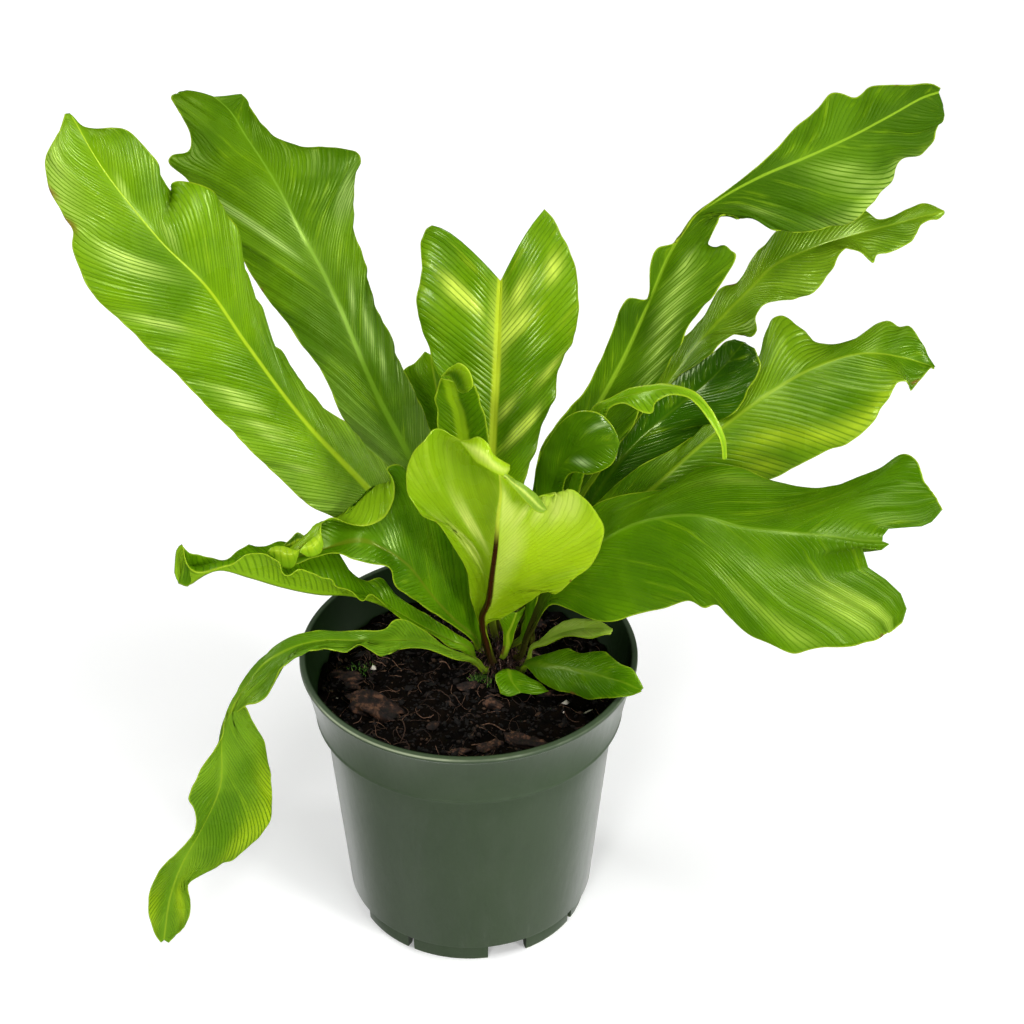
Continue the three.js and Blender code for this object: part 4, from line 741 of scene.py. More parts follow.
def column_shares(width):
    """Shares of the half width at each column: a few close by the midrib, the rest spread to the margin."""
    near = [np.minimum(mm / width, part) for mm, part in zip(RIB_COLUMNS_MM, RIB_COLUMNS_SHARE)]
    rest = [near[-1] + (1 - near[-1]) * part for part in REST_COLUMNS]
    return np.stack(near + rest, axis=1)


def sweep_towards_tip(sweep, steps):
    """How far each vein runs on along the blade before it meets the margin."""
    soft = 0.02
    room = TIP_CROWDING * (1 - steps)
    ends = -soft * np.log(np.exp(-sweep / soft) + np.exp(-room / soft))
    return np.maximum(ends, 0) * smoothstep(steps, 0, 0.22) * smoothstep(1 - steps, 0, 0.03)


def vein_count(draw, reach, step):
    """How many veins leave the midrib before each place along it. Their spacing varies."""
    gaps = step * draw.uniform(0.72, 1.28, int(reach[-1] / step) + 3)
    return np.interp(reach, np.concatenate([[0], np.cumsum(gaps)]), np.arange(len(gaps) + 1))


def vein_strength(draw, veins):
    """How deep each vein is pressed in."""
    marks = draw.uniform(0.35, 1.0, int(veins[-1]) + 3)
    return np.interp(veins, np.arange(len(marks)), marks)


def ripples(draw, vein, strength):
    """A sum of slow waves across the veins."""
    total = np.zeros_like(vein)
    for period in (3.1, 4.7, 7.9, 13.0):
        phase = draw.uniform(0, 2 * np.pi)
        total += strength * (period / 8) * np.sin(2 * np.pi * vein / period + phase)
    return total


def soft_spots(spots, vein, signed):
    """Soft spots stretched along the veins."""
    total = np.zeros_like(vein)
    for number, place, reach, spread, height in triples(spots, 5):
        total += height * np.exp(-((vein - number) / reach) ** 2 - ((signed - place) / spread) ** 2)
    return total


def face_normal(place):
    return unit(np.cross(np.gradient(place, axis=1), np.gradient(place, axis=0)))


def make_frond(name, frond):
    look = {**USUAL_LOOK, **frond["look"]}
    curves = frond_curves(frond)
    length = curves["rib"].length
    rows = int(length / ROW_STEP)
    steps = np.linspace(0, 1 - TIP_TRIM, rows + 1)
    draw = np.random.default_rng(sum(name.encode()))
    halves = []
    for side in ("left", "right"):
        rough_width = np.linalg.norm(curves[side].at(steps) - curves["rib"].at(steps), axis=1)
        share = column_shares(np.maximum(rough_width, 0.4))
        usual_width = np.median(rough_width[rows // 4:])
        sweep = min(look["vein_sweep"] * usual_width / length, LARGEST_SWEEP)
        along = np.clip(steps[:, None] + sweep_towards_tip(sweep, steps)[:, None] * share ** 0.9, 0, 1)
        place, width = blade_half(frond.get("arch", 0.08), curves, side, share, along)
        veins = vein_count(draw, steps * length, look["vein_step"])
        strength = vein_strength(draw, veins)
        halves.append((place, share, along, width, veins[:, None] + 0 * share, strength[:, None] + 0 * share))
    grids = [np.concatenate([left[:, ::-1], right[:, 1:]], axis=1) for left, right in zip(*halves)]
    dress_frond(name, look, grids, length / rows, draw)


def dress_frond(name, look, grids, row_length, draw):
    """One closed leaf from the grids of its two halves side by side, with relief on both faces."""
    place, share, along, width, vein, strength = grids
    middle = share.shape[1] // 2
    signed = share.copy()
    signed[:, :middle] *= -1
    rib_mm = share * width
    edge_mm = (1 - share) * width
    blade = smoothstep(along, 0.08, 0.2)

    # frilled margins, in the plane of the blade
    outward = np.gradient(place, axis=1)
    outward[:, :middle] *= -1
    outward = unit(outward)
    for half in (slice(0, middle), slice(middle + 1, None)):
        waves = ripples(draw, vein[:, half], 0.32 * look["frill"])
        reach = share[:, half] ** 3 * blade[:, half]
        fade = 1 - smoothstep(along[:, half], 0.93, 1)
        place[:, half] += outward[:, half] * (waves * reach * fade)[..., None]

    # the veins' corrugation and slower ripples, out of the plane
    normal = face_normal(place)
    spacing = np.linalg.norm(np.gradient(place, axis=0), axis=-1) / row_length
    away = smoothstep(rib_mm, 1.2, 5) * blade * np.clip(spacing, 0, 1) ** 1.5
    tip = 1 - smoothstep(along, 0.96, 1)
    near_edge = 1 - 0.8 * smoothstep(share, 0.6, 1)
    corrugation = -look["vein_depth"] * np.cos(2 * np.pi * vein) * strength * away * near_edge * tip
    waves = np.concatenate(
        [ripples(draw, half, look["ripple"]) for half in (vein[:, :middle], vein[:, middle:])], axis=1)
    wave = waves * share ** 1.6 * blade * tip * np.minimum(width / 20, 1)
    folds = soft_spots(look["folds"], vein, signed)
    place = place + normal * (corrugation + wave + folds)[..., None]

    # the thickness, with the midrib proud on both faces and a groove beside it
    normal = face_normal(place)
    stalk = 1 - smoothstep(along, 0.02, 0.16)
    half = (BLADE_THICKNESS + (STALK_THICKNESS - BLADE_THICKNESS) * stalk) / 2
    half = half * (0.35 + 0.65 * smoothstep(edge_mm, 0, 0.7 + 0.6 * stalk))
    rib_top = 0.34 * np.exp(-(rib_mm / 0.9) ** 2) * (1 - 0.6 * along)
    groove = -0.3 * np.exp(-((rib_mm - 2.4) / 0.9) ** 2) * blade * (1 - along)
    rib_under = (look["rib_depth"] * (1 - along) + 0.25) * np.exp(-(rib_mm / 1.2) ** 2)
    upper = place + normal * (half + rib_top + groove)[..., None]
    lower = place - normal * (half + rib_under - groove)[..., None]
    piece = leaf_piece("fine_" + name, "leaf_" + name, look, upper, lower, {
        "vein": vein + 0.5, "rib_mm": rib_mm, "edge_mm": edge_mm, "along": along, "across": signed,
        "burnt": np.clip(soft_spots(look["burns"], vein, signed), 0, 1),
        "painted_light": np.clip(soft_spots(look["painted_light_spots"], vein, signed), 0, 1)})
    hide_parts(name)


def leaf_piece(name, material_name, look, upper, lower, grids):
    """A closed leaf from the grids of its two faces, with the values that its material reads."""
    rows, columns = upper.shape[0] - 1, upper.shape[1]
    count = (rows + 1) * columns
    floats = {key: np.tile(values.ravel(), 2) for key, values in grids.items()}
    floats["under"] = np.repeat([0.0, 1.0], count)
    points = np.concatenate([upper.reshape(-1, 3), lower.reshape(-1, 3)])
    faces = closed_faces(rows, columns, count)
    return new_piece(name, points, faces, leaf_material(material_name, look), floats)


def closed_faces(rows, columns, count):
    """Quads of both faces of a leaf and of its rim."""
    row, column = np.meshgrid(np.arange(rows), np.arange(columns - 1), indexing="ij")
    a = (row * columns + column).ravel()
    top = np.stack([a, a + 1, a + 1 + columns, a + columns], axis=1)
    rim = np.concatenate([
        np.arange(columns), np.arange(1, rows + 1) * columns + columns - 1,
        np.arange(columns - 2, -1, -1) + rows * columns, np.arange(rows - 1, 0, -1) * columns])
    following = np.roll(rim, -1)
    band = np.stack([rim, rim + count, following + count, following], axis=1)
    return np.concatenate([top, top[:, ::-1] + count, band])


def make_flap(name, flap):
    """A folded bit of blade between an upper and a lower line, swelling towards the viewer."""
    own = flap["look"] if "look" in flap else FRONDS[flap["of"]]["look"]
    dark, light = flap["tones"]
    look = {**USUAL_LOOK, **own, "dark": dark, "light": light, "pale_under": 0, "stalk": 0, "shade": 0,
            "rib": 0, "line": flap["line"]}
    upper = Curve(triples(flap["upper"]))
    lower = Curve(triples(flap["lower"]))
    rows = int(upper.length / ROW_STEP)
    along = np.linspace(0, 1, rows + 1)
    share = np.linspace(0, 1, FLAP_COLUMNS)
    start = upper.at(along)[:, None]
    place = start + (lower.at(along)[:, None] - start) * share[None, :, None]
    height = np.linalg.norm(place[:, -1] - place[:, 0], axis=-1)[:, None]
    ends = np.sin(np.pi * along)[:, None]
    crest = np.exp(-((share[None, :] - flap["crest"][0]) / flap["crest"][1]) ** 2)
    swell = flap["swell"] * ends * (4 * share * (1 - share))[None, :] * (0.4 + 0.6 * crest)
    place = place + np.array(TOWARDS_VIEW) * swell[..., None]
    flat = np.ones((rows + 1, FLAP_COLUMNS))
    edge_mm = 9 * flat
    for free, reach in zip(flap["free"], (share, 1 - share)):
        if free:
            edge_mm = np.minimum(edge_mm, reach[None, :] * height)
    half = face_normal(place) * (BLADE_THICKNESS / 2 * (0.35 + 0.65 * smoothstep(edge_mm, 0, 0.7))[..., None])
    # the crest is coloured as painted light: a painted highlight along the fold, or painted shade where the
    # look's colour is dark
    leaf_piece(name, "leaf_" + name, look, place + half, place - half, {
        "vein": flat * along[:, None] * upper.length / look["vein_step"], "rib_mm": flat * 9,
        "edge_mm": edge_mm, "along": flat * 0.6, "across": flat * share, "burnt": flat * 0,
        "painted_light": crest * ends ** 0.4})


# The pot: a turned profile with notches and slits cut in its foot
def pot_profile():
    """Radius and height of each corner, from below the middle, up the outside and down the inside."""
    stretches = (
        (0, 0, (0, 0), (PAD_RADIUS, 0), (PAD_RADIUS + 1, FLOOR_UNDERSIDE)),
        (FOOT_INNER, 0, (-1, FLOOR_UNDERSIDE), (-0.2, 0.3), (0.3, 0)),
        (FOOT_RADIUS, 0, (-0.6, 0), (-0.15, 0.2), (0, 0.7)),
        (FOOT_RADIUS, FOOT_HEIGHT, (0.4, -0.6), (0.9, -0.1)),
        (BODY_BOTTOM_RADIUS, FOOT_HEIGHT, (-1, 0), (-0.3, 0.3), (0, 1.1)),
        (BODY_TOP_RADIUS, BAND_BOTTOM, (0, -2), (0.3, -1.2), (1.2, -0.7)),
        (BAND_BOTTOM_RADIUS, BAND_BOTTOM, (-0.4, -0.4), (0.4, 0), (RIDGE_PROUD, 0.5), (RIDGE_PROUD, 1.2)),
        (BAND_BOTTOM_RADIUS, BAND_BOTTOM, (0.45, 1.7), (0.4, 2.3)),
        (BAND_TOP_RADIUS, POT_HEIGHT, (0, -3.1), (0.3, -2.7)),
        (RIM_RADIUS, POT_HEIGHT, (-0.3, -2.4), (0, -2), (0, -0.7), (-0.2, -0.2), (-0.7, 0)),
        (RIM_RADIUS - LIP_THICKNESS, POT_HEIGHT, (0.7, 0), (0.2, -0.15), (0, -0.7)),
        (-WALL, BAND_BOTTOM, (BAND_BOTTOM_RADIUS, 2), (BODY_TOP_RADIUS, -2.4)),
        (-WALL, FOOT_HEIGHT, (BODY_BOTTOM_RADIUS, 1.6)),
        (FOOT_INNER, 0, (-0.2, FOOT_HEIGHT), (-0.6, FLOOR_TOP)),
        (0, 0, (0, FLOOR_TOP)),
    )
    return [(radius + out, height + up) for radius, height, *steps in stretches for out, up in steps]


def turned(profile, segments):
    """Points and faces of a closed profile turned about the vertical axis. Its ends lie on the axis."""
    ring = np.array(profile[1:-1], float)
    angle = 2 * np.pi * np.arange(segments) / segments
    body = np.zeros((len(ring), segments, 3))
    body[..., :2] = ring[:, None, :1] * np.stack([np.cos(angle), np.sin(angle)], axis=1)
    body[..., 2] = ring[:, None, 1]
    points = np.concatenate([body.reshape(-1, 3), [[0, 0, profile[0][1]], [0, 0, profile[-1][1]]]])
    a, b = ring_pairs(len(ring), segments)
    faces = np.stack([a, b, b + segments, a + segments], axis=1).tolist()
    low = len(ring) * segments
    last = low - segments
    for segment in range(segments):
        beside = (segment + 1) % segments
        faces.append((low, beside, segment))
        faces.append((low + 1, last + segment, last + beside))
    return points, faces


def box_cutter(width, angle):
    """A box across the foot ring, turned about the pot's axis by an angle in degrees."""
    cosine = math.cos(math.radians(angle))
    sine = math.sin(math.radians(angle))
    corners = []
    for z in (-2, NOTCH_HEIGHT):
        for side, out in ((-1, -6), (1, -6), (1, 6), (-1, 6)):
            x = side * width / 2
            y = out - FOOT_RADIUS
            corners.append((x * cosine - y * sine, x * sine + y * cosine, z))
    faces = [(3, 2, 1, 0), (4, 5, 6, 7), (0, 1, 5, 4), (1, 2, 6, 5), (2, 3, 7, 6), (3, 0, 4, 7)]
    return bare_object("foot_cutter", corners, faces)


def make_pot():
    pot = bare_object("moulded_pot", *turned(pot_profile(), POT_SEGMENTS))
    cutters = [box_cutter(width, first + 90 * foot) for foot in range(FEET) for width, first in FOOT_CUTS]
    for cutter in cutters:
        cut = pot.modifiers.new("cut", "BOOLEAN")
        cut.operation = "DIFFERENCE"
        cut.solver = "EXACT"
        cut.object = cutter
    bpy.context.view_layer.update()
    cut_mesh = bpy.data.meshes.new_from_object(pot.evaluated_get(bpy.context.evaluated_depsgraph_get()))
    pot.modifiers.clear()
    pot.data = cut_mesh
    for cutter in cutters:
        bpy.data.objects.remove(cutter)
    for polygon in cut_mesh.polygons:
        polygon.use_smooth = True
    cut_mesh.set_sharp_from_angle(angle=math.radians(SHARP_ANGLE))
    cut_mesh.materials.clear()
    cut_mesh.materials.append(pot_material())
    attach(pot, "root")
    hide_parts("pot")


def pot_material():
    kit = Shader("scuffed_pot_plastic")
    cloud = kit.noise(14, 4, 0.6)
    scuff = kit.noise(120, 5, 0.7, (1, 1, 0.25))
    speck = kit.noise(1500, 2, 0.5)
    tone = kit.mix(kit.ramp(cloud, 0.3, 0.7), (0.038, 0.062, 0.029), (0.045, 0.07, 0.034))
    tone = kit.mix(kit.ramp(scuff, 0.62, 0.8, 0, 0.35), tone, (0.1, 0.13, 0.08))
    tone = kit.mix(kit.ramp(speck, 0.7, 0.8, 0, 0.3), tone, (0.14, 0.17, 0.12))

    # how far a face looks out from the pot's axis: 1 on the wall, 0 on top of the lip, below 0 inside
    place = kit.coords("Object")
    flat = kit.vector("MULTIPLY", {0: place, 1: (1, 1, 0)})[0]
    from_axis = kit.vector("NORMALIZE", {0: flat})[0]
    facing = kit.vector("DOT_PRODUCT", {0: from_axis, 1: kit.coords("Normal")})["Value"]

    # pale lines in places on the lip's outer edge and round the foot
    height = kit.node("SeparateXYZ", {"Vector": place}).outputs["Z"]
    lip = kit.ramp(height, (POT_HEIGHT - 1.2) * MM, (POT_HEIGHT - 0.5) * MM)
    lip = kit.times(lip, kit.ramp(facing, 0.15, 0.4))
    foot = kit.ramp(height, 0, 0.9 * MM, 1, 0)
    pale_edge_lines = kit.times(kit.math("ADD", lip, foot), kit.ramp(cloud, 0.45, 0.62, 0.04, 0.75))
    tone = kit.mix(pale_edge_lines, tone, (0.35, 0.4, 0.25))

    # painted shade: the inside wall is coloured almost black, for the shade within the pot
    inside = kit.ramp(facing, -0.3, 0, 1, 0)
    tone = kit.mix(inside, tone, (0.008, 0.02, 0.005))
    bump = kit.bump(kit.math("ADD", kit.times(speck, 0.6), scuff), 0.3, 0.0001)
    return kit.finish(kit.skin(tone, kit.ramp(scuff, 0.35, 0.75, 0.42, 0.6), bump, {
        "Specular IOR Level": kit.ramp(inside, 0, 1, 0.45, 0.15),
        "Sheen Weight": kit.ramp(inside, 0, 1, 0.65, 0), "Sheen Roughness": 0.3}))


# The soil
def soil_height(x, y):
    lumps = 1.1 * np.sin(x * 0.21 + 1.3) * np.cos(y * 0.19 - 0.4)
    lumps = lumps + 0.7 * np.sin(x * 0.47 - y * 0.33) + 0.5 * np.cos(x * 0.13 + y * 0.58)
    to_crown = np.hypot(x - CROWN_CENTRE[0], y - CROWN_CENTRE[1])
    mound = 1.2 * np.exp(-((to_crown / 24) ** 2))
    flat = smoothstep(to_crown, CROWN_RADIUS + 1, CROWN_RADIUS + 8)
    dip = 1.6 * smoothstep(np.hypot(x, y), 52, 72)
    return SOIL_TOP + lumps * flat + mound - dip


def soil_top(x, y):
    """The soil's height with its rough grain, in millimetres."""
    x = np.asarray(x, float)
    y = np.asarray(y, float)
    total = 0
    for size, depth, seed in ((9.0, 1.5, 1), (4.2, 1.2, 2), (2.0, 0.75, 3), (1.0, 0.35, 4)):
        places = np.stack([x / size, y / size, np.zeros_like(x)], axis=-1)
        total = total + depth * np.abs(value_noise(places, seed))
    return soil_height(x, y) + (total - 1.0)


def make_soil():
    radius = SOIL_RADIUS * (np.arange(SOIL_RINGS + 1) / SOIL_RINGS)
    angle = 2 * np.pi * np.arange(SOIL_SEGMENTS) / SOIL_SEGMENTS
    x = radius[:, None] * np.cos(angle)
    y = radius[:, None] * np.sin(angle)
    z = soil_top(x, y)
    rings = [np.stack([x, y, z], axis=-1)[1:]]
    sides = (
        (BODY_TOP_RADIUS - WALL - 0.8, BAND_BOTTOM - 2.6),
        (BODY_BOTTOM_RADIUS - WALL - 0.8, FOOT_HEIGHT + 3),
        (FOOT_INNER - 1.2, FOOT_HEIGHT + 0.6),
        (FOOT_INNER - 1.4, SOIL_BOTTOM),
        (0.5, SOIL_BOTTOM),
    )
    for side, height in sides:
        ring = [side * np.cos(angle), side * np.sin(angle), 0 * angle + height]
        rings.append(np.stack(ring, axis=-1)[None])
    grid = np.concatenate(rings)
    points = np.concatenate([grid.reshape(-1, 3), [[0, 0, z[0, 0]], [0, 0, SOIL_BOTTOM]]])
    soil = new_piece("peat_soil", points, closed_rings(len(grid), SOIL_SEGMENTS), soil_material())
    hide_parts("soil")


def soil_material():
    kit = Shader("damp_peat")
    coarse = kit.noise(160, 5, 0.65)
    fine = kit.noise(900, 4, 0.7)
    tone = kit.mix(kit.ramp(coarse, 0.35, 0.7), (0.001, 0.0006, 0.0003), (0.005, 0.0028, 0.0012))
    tone = kit.mix(kit.ramp(fine, 0.62, 0.8, 0, 0.6), tone, (0.027, 0.014, 0.006))
    rough = kit.ramp(coarse, 0.3, 0.7, 0.75, 0.98)
    return kit.finish(kit.skin(tone, rough, kit.bump(fine, 0.8, 0.0006), {"Specular IOR Level": 0.06}))


# Loose stuff. Of each piece: its material's name, dark, middle and light tone, roughness, scale of its
# grain, depth of its bump and how mottled it is.
STUFFS = {
    "soil_crumbs": ("peat_crumbs", (.002, .0012, .0008), (.009, .005, .003), (.07, .036, .018),
                    .85, 900, .0003, .35),
    "soil_roots": ("dry_roots", (.012, .006, .003), (.045, .022, .012), (.24, .13, .08), .7, 700, .0002, .35),
    "soil_bark": ("bark", (.003, .0015, .001), (.018, .008, .0045), (.11, .05, .026), .8, 260, .0014, .9),
    "soil_perlite": ("perlite", (.3, .27, .22), (.5, .45, .36), (.78, .72, .62), .8, 900, .0003, .35),
    "crown_scales": ("crown_scale", (.006, .003, .002), (.03, .013, .008), (.2, .11, .08),
                     .5, 800, .0002, .35),
    "crown_hairs": ("crown_hair", (.012, .006, .004), (.08, .04, .024), (.38, .24, .17), .6, 800, .0001, .35),
    "moss_tufts": ("moss", (.015, .05, .004), (.05, .15, .008), (.2, .34, .05), .7, 900, .0002, .35),
}


def stuff_material(name, dark, middle, light, rough, grain, depth, mottle):
    """A rough stuff whose tone runs through three colours by the tint of each bit."""
    kit = Shader(name)
    tint = kit.attribute("tint")
    noise = kit.noise(grain, 4, 0.65)
    level = kit.math("ADD", kit.times(tint, 1.1 - mottle), kit.ramp(noise, 0.3, 0.7, 0, mottle))
    tone = kit.mix(kit.ramp(level, 0.1, 0.6), dark, middle)
    tone = kit.mix(kit.ramp(level, 0.6, 1.05), tone, light)
    return kit.finish(kit.skin(tone, rough, kit.bump(noise, 0.6, depth), {"Specular IOR Level": 0.3}))


class Heap:
    """Small loose things gathered into one mesh, and the random draws that place them."""

    def __init__(self, seed):
        self.draw = np.random.default_rng(seed)
        self.bits = []
        self.count = 0

    def add(self, points, faces, tint):
        self.bits.append((points, np.asarray(faces) + self.count, np.full(len(points), tint)))
        self.count += len(points)

    def piece(self, name, slot):
        points, faces, tints = [np.concatenate(part) for part in zip(*self.bits)]
        return new_piece(name, points, faces, stuff_material(*STUFFS[name]), {"tint": tints})


def strand(path, half_widths, half_thickness, side):
    """A closed flat strip along a path, four-sided across and pointed where its width is small."""
    path = np.asarray(path, float)
    along = unit(np.gradient(path, axis=0))
    side = unit(side - along * np.sum(along * side, axis=1, keepdims=True))
    face = np.cross(along, side)
    width = np.asarray(half_widths, float)[:, None]
    depth = np.minimum(half_thickness, width)
    corners = [path + side * width, path + face * depth, path - side * width, path - face * depth]
    ring = np.stack(corners, axis=1)
    a, b = ring_pairs(len(path), 4)
    end = 4 * len(path) - 4
    ends = np.array([(0, 2, 1), (0, 3, 2), (end, end + 1, end + 2), (end, end + 2, end + 3)])
    faces = np.concatenate([np.stack([a, b, b + 4], axis=1), np.stack([a, b + 4, a + 4], axis=1), ends])
    return ring.reshape(-1, 3), faces


def lump(draw, centre, size, rough):
    """A small irregular grain: an octahedron with its corners moved about."""
    corners = np.array([(1, 0, 0), (-1, 0, 0), (0, 1, 0), (0, -1, 0), (0, 0, 1), (0, 0, -1)], float)
    corners = corners * draw.uniform(1 - rough, 1 + rough, (6, 1)) + draw.uniform(-0.25, 0.25, (6, 3))
    turn = draw.uniform(0, 2 * np.pi)
    spin = np.array([[math.cos(turn), -math.sin(turn), 0], [math.sin(turn), math.cos(turn), 0], [0, 0, 1]])
    faces = [(0, 2, 4), (2, 1, 4), (1, 3, 4), (3, 0, 4), (2, 0, 5), (1, 2, 5), (3, 1, 5), (0, 3, 5)]
    return (corners * size) @ spin.T + centre, faces


def on_soil(x, y, lift):
    return np.array([x, y, float(soil_top(x, y)) + lift])


def spread_on_disc(draw, reach):
    radius = reach * math.sqrt(draw.uniform(0, 1))
    turn = draw.uniform(0, 2 * np.pi)
    return radius * math.cos(turn), radius * math.sin(turn)


def make_crumbs():
    """Loose grains of peat and bark over the whole top."""
    heap = Heap(11)
    draw = heap.draw
    for _ in range(CRUMB_COUNT):
        spot = spread_on_disc(draw, CRUMB_REACH)
        size = draw.uniform(0.35, 1.0) * (1 + 1.6 * draw.uniform(0, 1) ** 6)
        shape = size * np.array([draw.uniform(0.8, 1.9), draw.uniform(0.6, 1.1), draw.uniform(0.4, 0.9)])
        points, faces = lump(draw, on_soil(*spot, 0.25 * size), shape, 0.3)
        heap.add(points, faces, draw.uniform(0, 1) ** 2.2)
    heap.piece("soil_crumbs", "soil")


def make_roots():
    """Thin curled roots and fibres lying in the soil."""
    heap = Heap(23)
    draw = heap.draw
    for number in range(ROOT_COUNT):
        place = np.array(spread_on_disc(draw, ROOT_REACH))
        heading = draw.uniform(0, 2 * np.pi)
        bend = draw.uniform(-0.28, 0.28)
        steps = int(draw.uniform(7, 20))
        stride = draw.uniform(0.8, 1.3)
        path = []
        for step in range(steps):
            place = place + stride * np.array([math.cos(heading), math.sin(heading)])
            heading += bend + draw.uniform(-0.22, 0.22)
            if np.hypot(*place) > ROOT_REACH + 2:
                break
            lift = 0.5 * math.sin(math.pi * step / steps) * draw.uniform(0.6, 1.4)
            path.append((*place, float(soil_height(*place)) + 0.75 + lift))
        if len(path) < 4:
            continue
        coarse = number < ROOT_COUNT // 4
        thick = draw.uniform(0.22, 0.42) if coarse else draw.uniform(0.1, 0.2)
        taper = np.linspace(1, 0.35, len(path)) * thick
        points, faces = strand(path, taper, thick, np.array([0.3, 0.2, 1.0]))
        heap.add(points, faces, draw.uniform(0.2, 1.0))
    heap.piece("soil_roots", "soil")


def rotation(axis, angle):
    """A turn about an axis by an angle in degrees."""
    x, y, z = axis
    cosine = math.cos(math.radians(angle))
    sine = math.sin(math.radians(angle))
    cross = np.array([[0, -z, y], [z, 0, -x], [-y, x, 0]], float)
    return np.eye(3) + sine * cross + (1 - cosine) * cross @ cross


def bark_chip(draw, x, y, length, width, height, turn, tilt):
    """A flat rough flake, turned about z and tipped."""
    across, around = 14, 26
    polar = np.linspace(0, np.pi, across + 1)[1:-1, None]
    swing = 2 * np.pi * np.arange(around) / around
    body = [np.sin(polar) * np.cos(swing), np.sin(polar) * np.sin(swing), np.cos(polar) * np.ones(around)]
    body = np.stack(body, axis=-1)
    body = np.sign(body) * np.abs(body) ** 0.75
    body = np.concatenate([body.reshape(-1, 3), [[0, 0, 1], [0, 0, -1]]])
    seed = int(draw.integers(1000))
    edge = 1 + 0.3 * value_noise(body * 2.3 + 5, seed)
    body[:, 0] *= edge * length / 2
    body[:, 1] *= edge * (1 - 0.35 * body[:, 0] / length) * width / 2
    body[:, 2] *= height / 2
    layers = 0.4 * height * np.sign(body[:, 2]) * value_noise(body * np.array([0.25, 1.3, 0.2]) + 9, seed + 1)
    body[:, 2] += layers + 0.12 * height * value_noise(body * 1.3 + 3, seed + 2)
    spin = rotation((0, 0, 1), turn) @ rotation((0, 1, 0), tilt)
    return body @ spin.T + on_soil(x, y, height * 0.25), closed_rings(across - 1, around)


# Bark: place on the soil, length, width, height, turn, tilt, tint
BARK = (
    (-43, -17, 26, 15, 5, -22, 8, .75), (-57.5, 4, 15, 7, 3.5, -12, -6, .5),
    (25.5, -42.5, 19, 7, 3.6, -14, 5, .85), (10, -46, 11, 5, 2.6, 18, -8, .7),
    (-3, -47.5, 9, 3.6, 2.4, 8, 6, .95), (12, -15, 10, 6, 2.6, -20, 8, .7),
    (-.5, -2.5, 9, 5, 2.4, 12, -5, .8), (-54, -1, 8, 4, 2, -30, 4, .6), (49, 3, 9, 5, 3, 40, 10, .35),
    (-20, 38, 12, 7, 3.4, 20, 6, .4), (30, 46, 14, 7, 3.6, -35, -5, .45), (-42, 30, 10, 6, 3, 65, 8, .5),
    (58, 22, 10, 5, 2.8, 80, -6, .55), (-16, -30, 7, 4, 2, 50, 4, .3), (36, -8, 7, 4, 2.2, 10, -4, .3),
    (2, 60, 11, 6, 3, -8, 6, .5),
)
# Pale grains: place on the soil and size
PERLITE = (
    (44.9, -15.6, 2.1, 1.3, 1.1), (43.6, -21.4, .9, .8, .7), (23, -37, .7, .6, .5),
    (-45, 11.3, 2.2, 1.6, 1.3), (-61, -8, .6, .5, .4), (-30, 44, 1.2, .9, .8), (41, 38, 1.5, 1.1, .9),
    (8, 62, 1, .8, .7),
)
# A pale splinter on the soil
SPLINTER = ((51.6, -23.4, 122.8), (53.4, -22.4, 123.5), (55.4, -21.2, 123.9), (57.0, -20.3, 124.0))


def make_bark():
    heap = Heap(5)
    for *chip, tint in BARK:
        heap.add(*bark_chip(heap.draw, *chip), tint)
    heap.piece("soil_bark", "soil")


def make_perlite():
    heap = Heap(8)
    for x, y, *size in PERLITE:
        heap.add(*lump(heap.draw, on_soil(x, y, size[2] * 0.6), np.array(size), 0.2), 1.0)
    heap.add(*strand(SPLINTER, [0.2, 0.5, 0.5, 0.2], 0.3, np.array([0.4, -0.9, 0.0])), 0.7)
    heap.piece("soil_perlite", "soil")


# The crown: a rough core, pointed brown scales all over it, fine hairs and a patch of moss
def crown_core():
    rows, around = 26, 48
    core = np.array([
        crown_place(2 * np.pi * step / around, height, 0.93)[0]
        for height in np.linspace(-0.2, np.pi / 2, rows + 1)[:-1] for step in range(around)])
    rough = 1.1 * value_noise(core * 0.45, 31) + 0.5 * value_noise(core * 1.3, 32)
    core = core + unit(core - CROWN_CENTRE) * rough[:, None]
    core = np.vstack([core, crown_place(0, np.pi / 2, 0.95)[0], CROWN_CENTRE - (0, 0, 4)])
    return core, closed_rings(rows, around, rising=True)


def make_crown():
    heap = Heap(3)
    draw = heap.draw
    heap.add(*crown_core(), 0.15)
    for _ in range(SCALE_COUNT):
        turn = draw.uniform(0, 2 * np.pi)
        start, out = crown_place(turn, math.asin(draw.uniform(0.0, 0.98)), 0.9)
        side = unit(np.cross(out, (0, 0, 1)) + 0.3 * draw.uniform(-1, 1, 3))
        up = np.cross(side, out)
        lean = draw.uniform(0.2, 0.9)
        length = draw.uniform(3.5, 8.5)
        share = np.linspace(0, 1, 6)[:, None]
        curl = draw.uniform(-0.5, 0.9)
        path = start + length * share * (up * lean + out * (1 - 0.55 * lean))
        path = path + out * curl * length * 0.25 * share ** 2 + side * draw.uniform(-1.5, 1.5) * share ** 2
        width = draw.uniform(0.35, 0.95) * np.array([0.7, 1, 0.95, 0.7, 0.4, 0.08])
        heap.add(*strand(path, width, 0.12, side), draw.uniform(0, 1) ** 1.6)
    crown = heap.piece("crown_scales", "crown")
    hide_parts("crown")


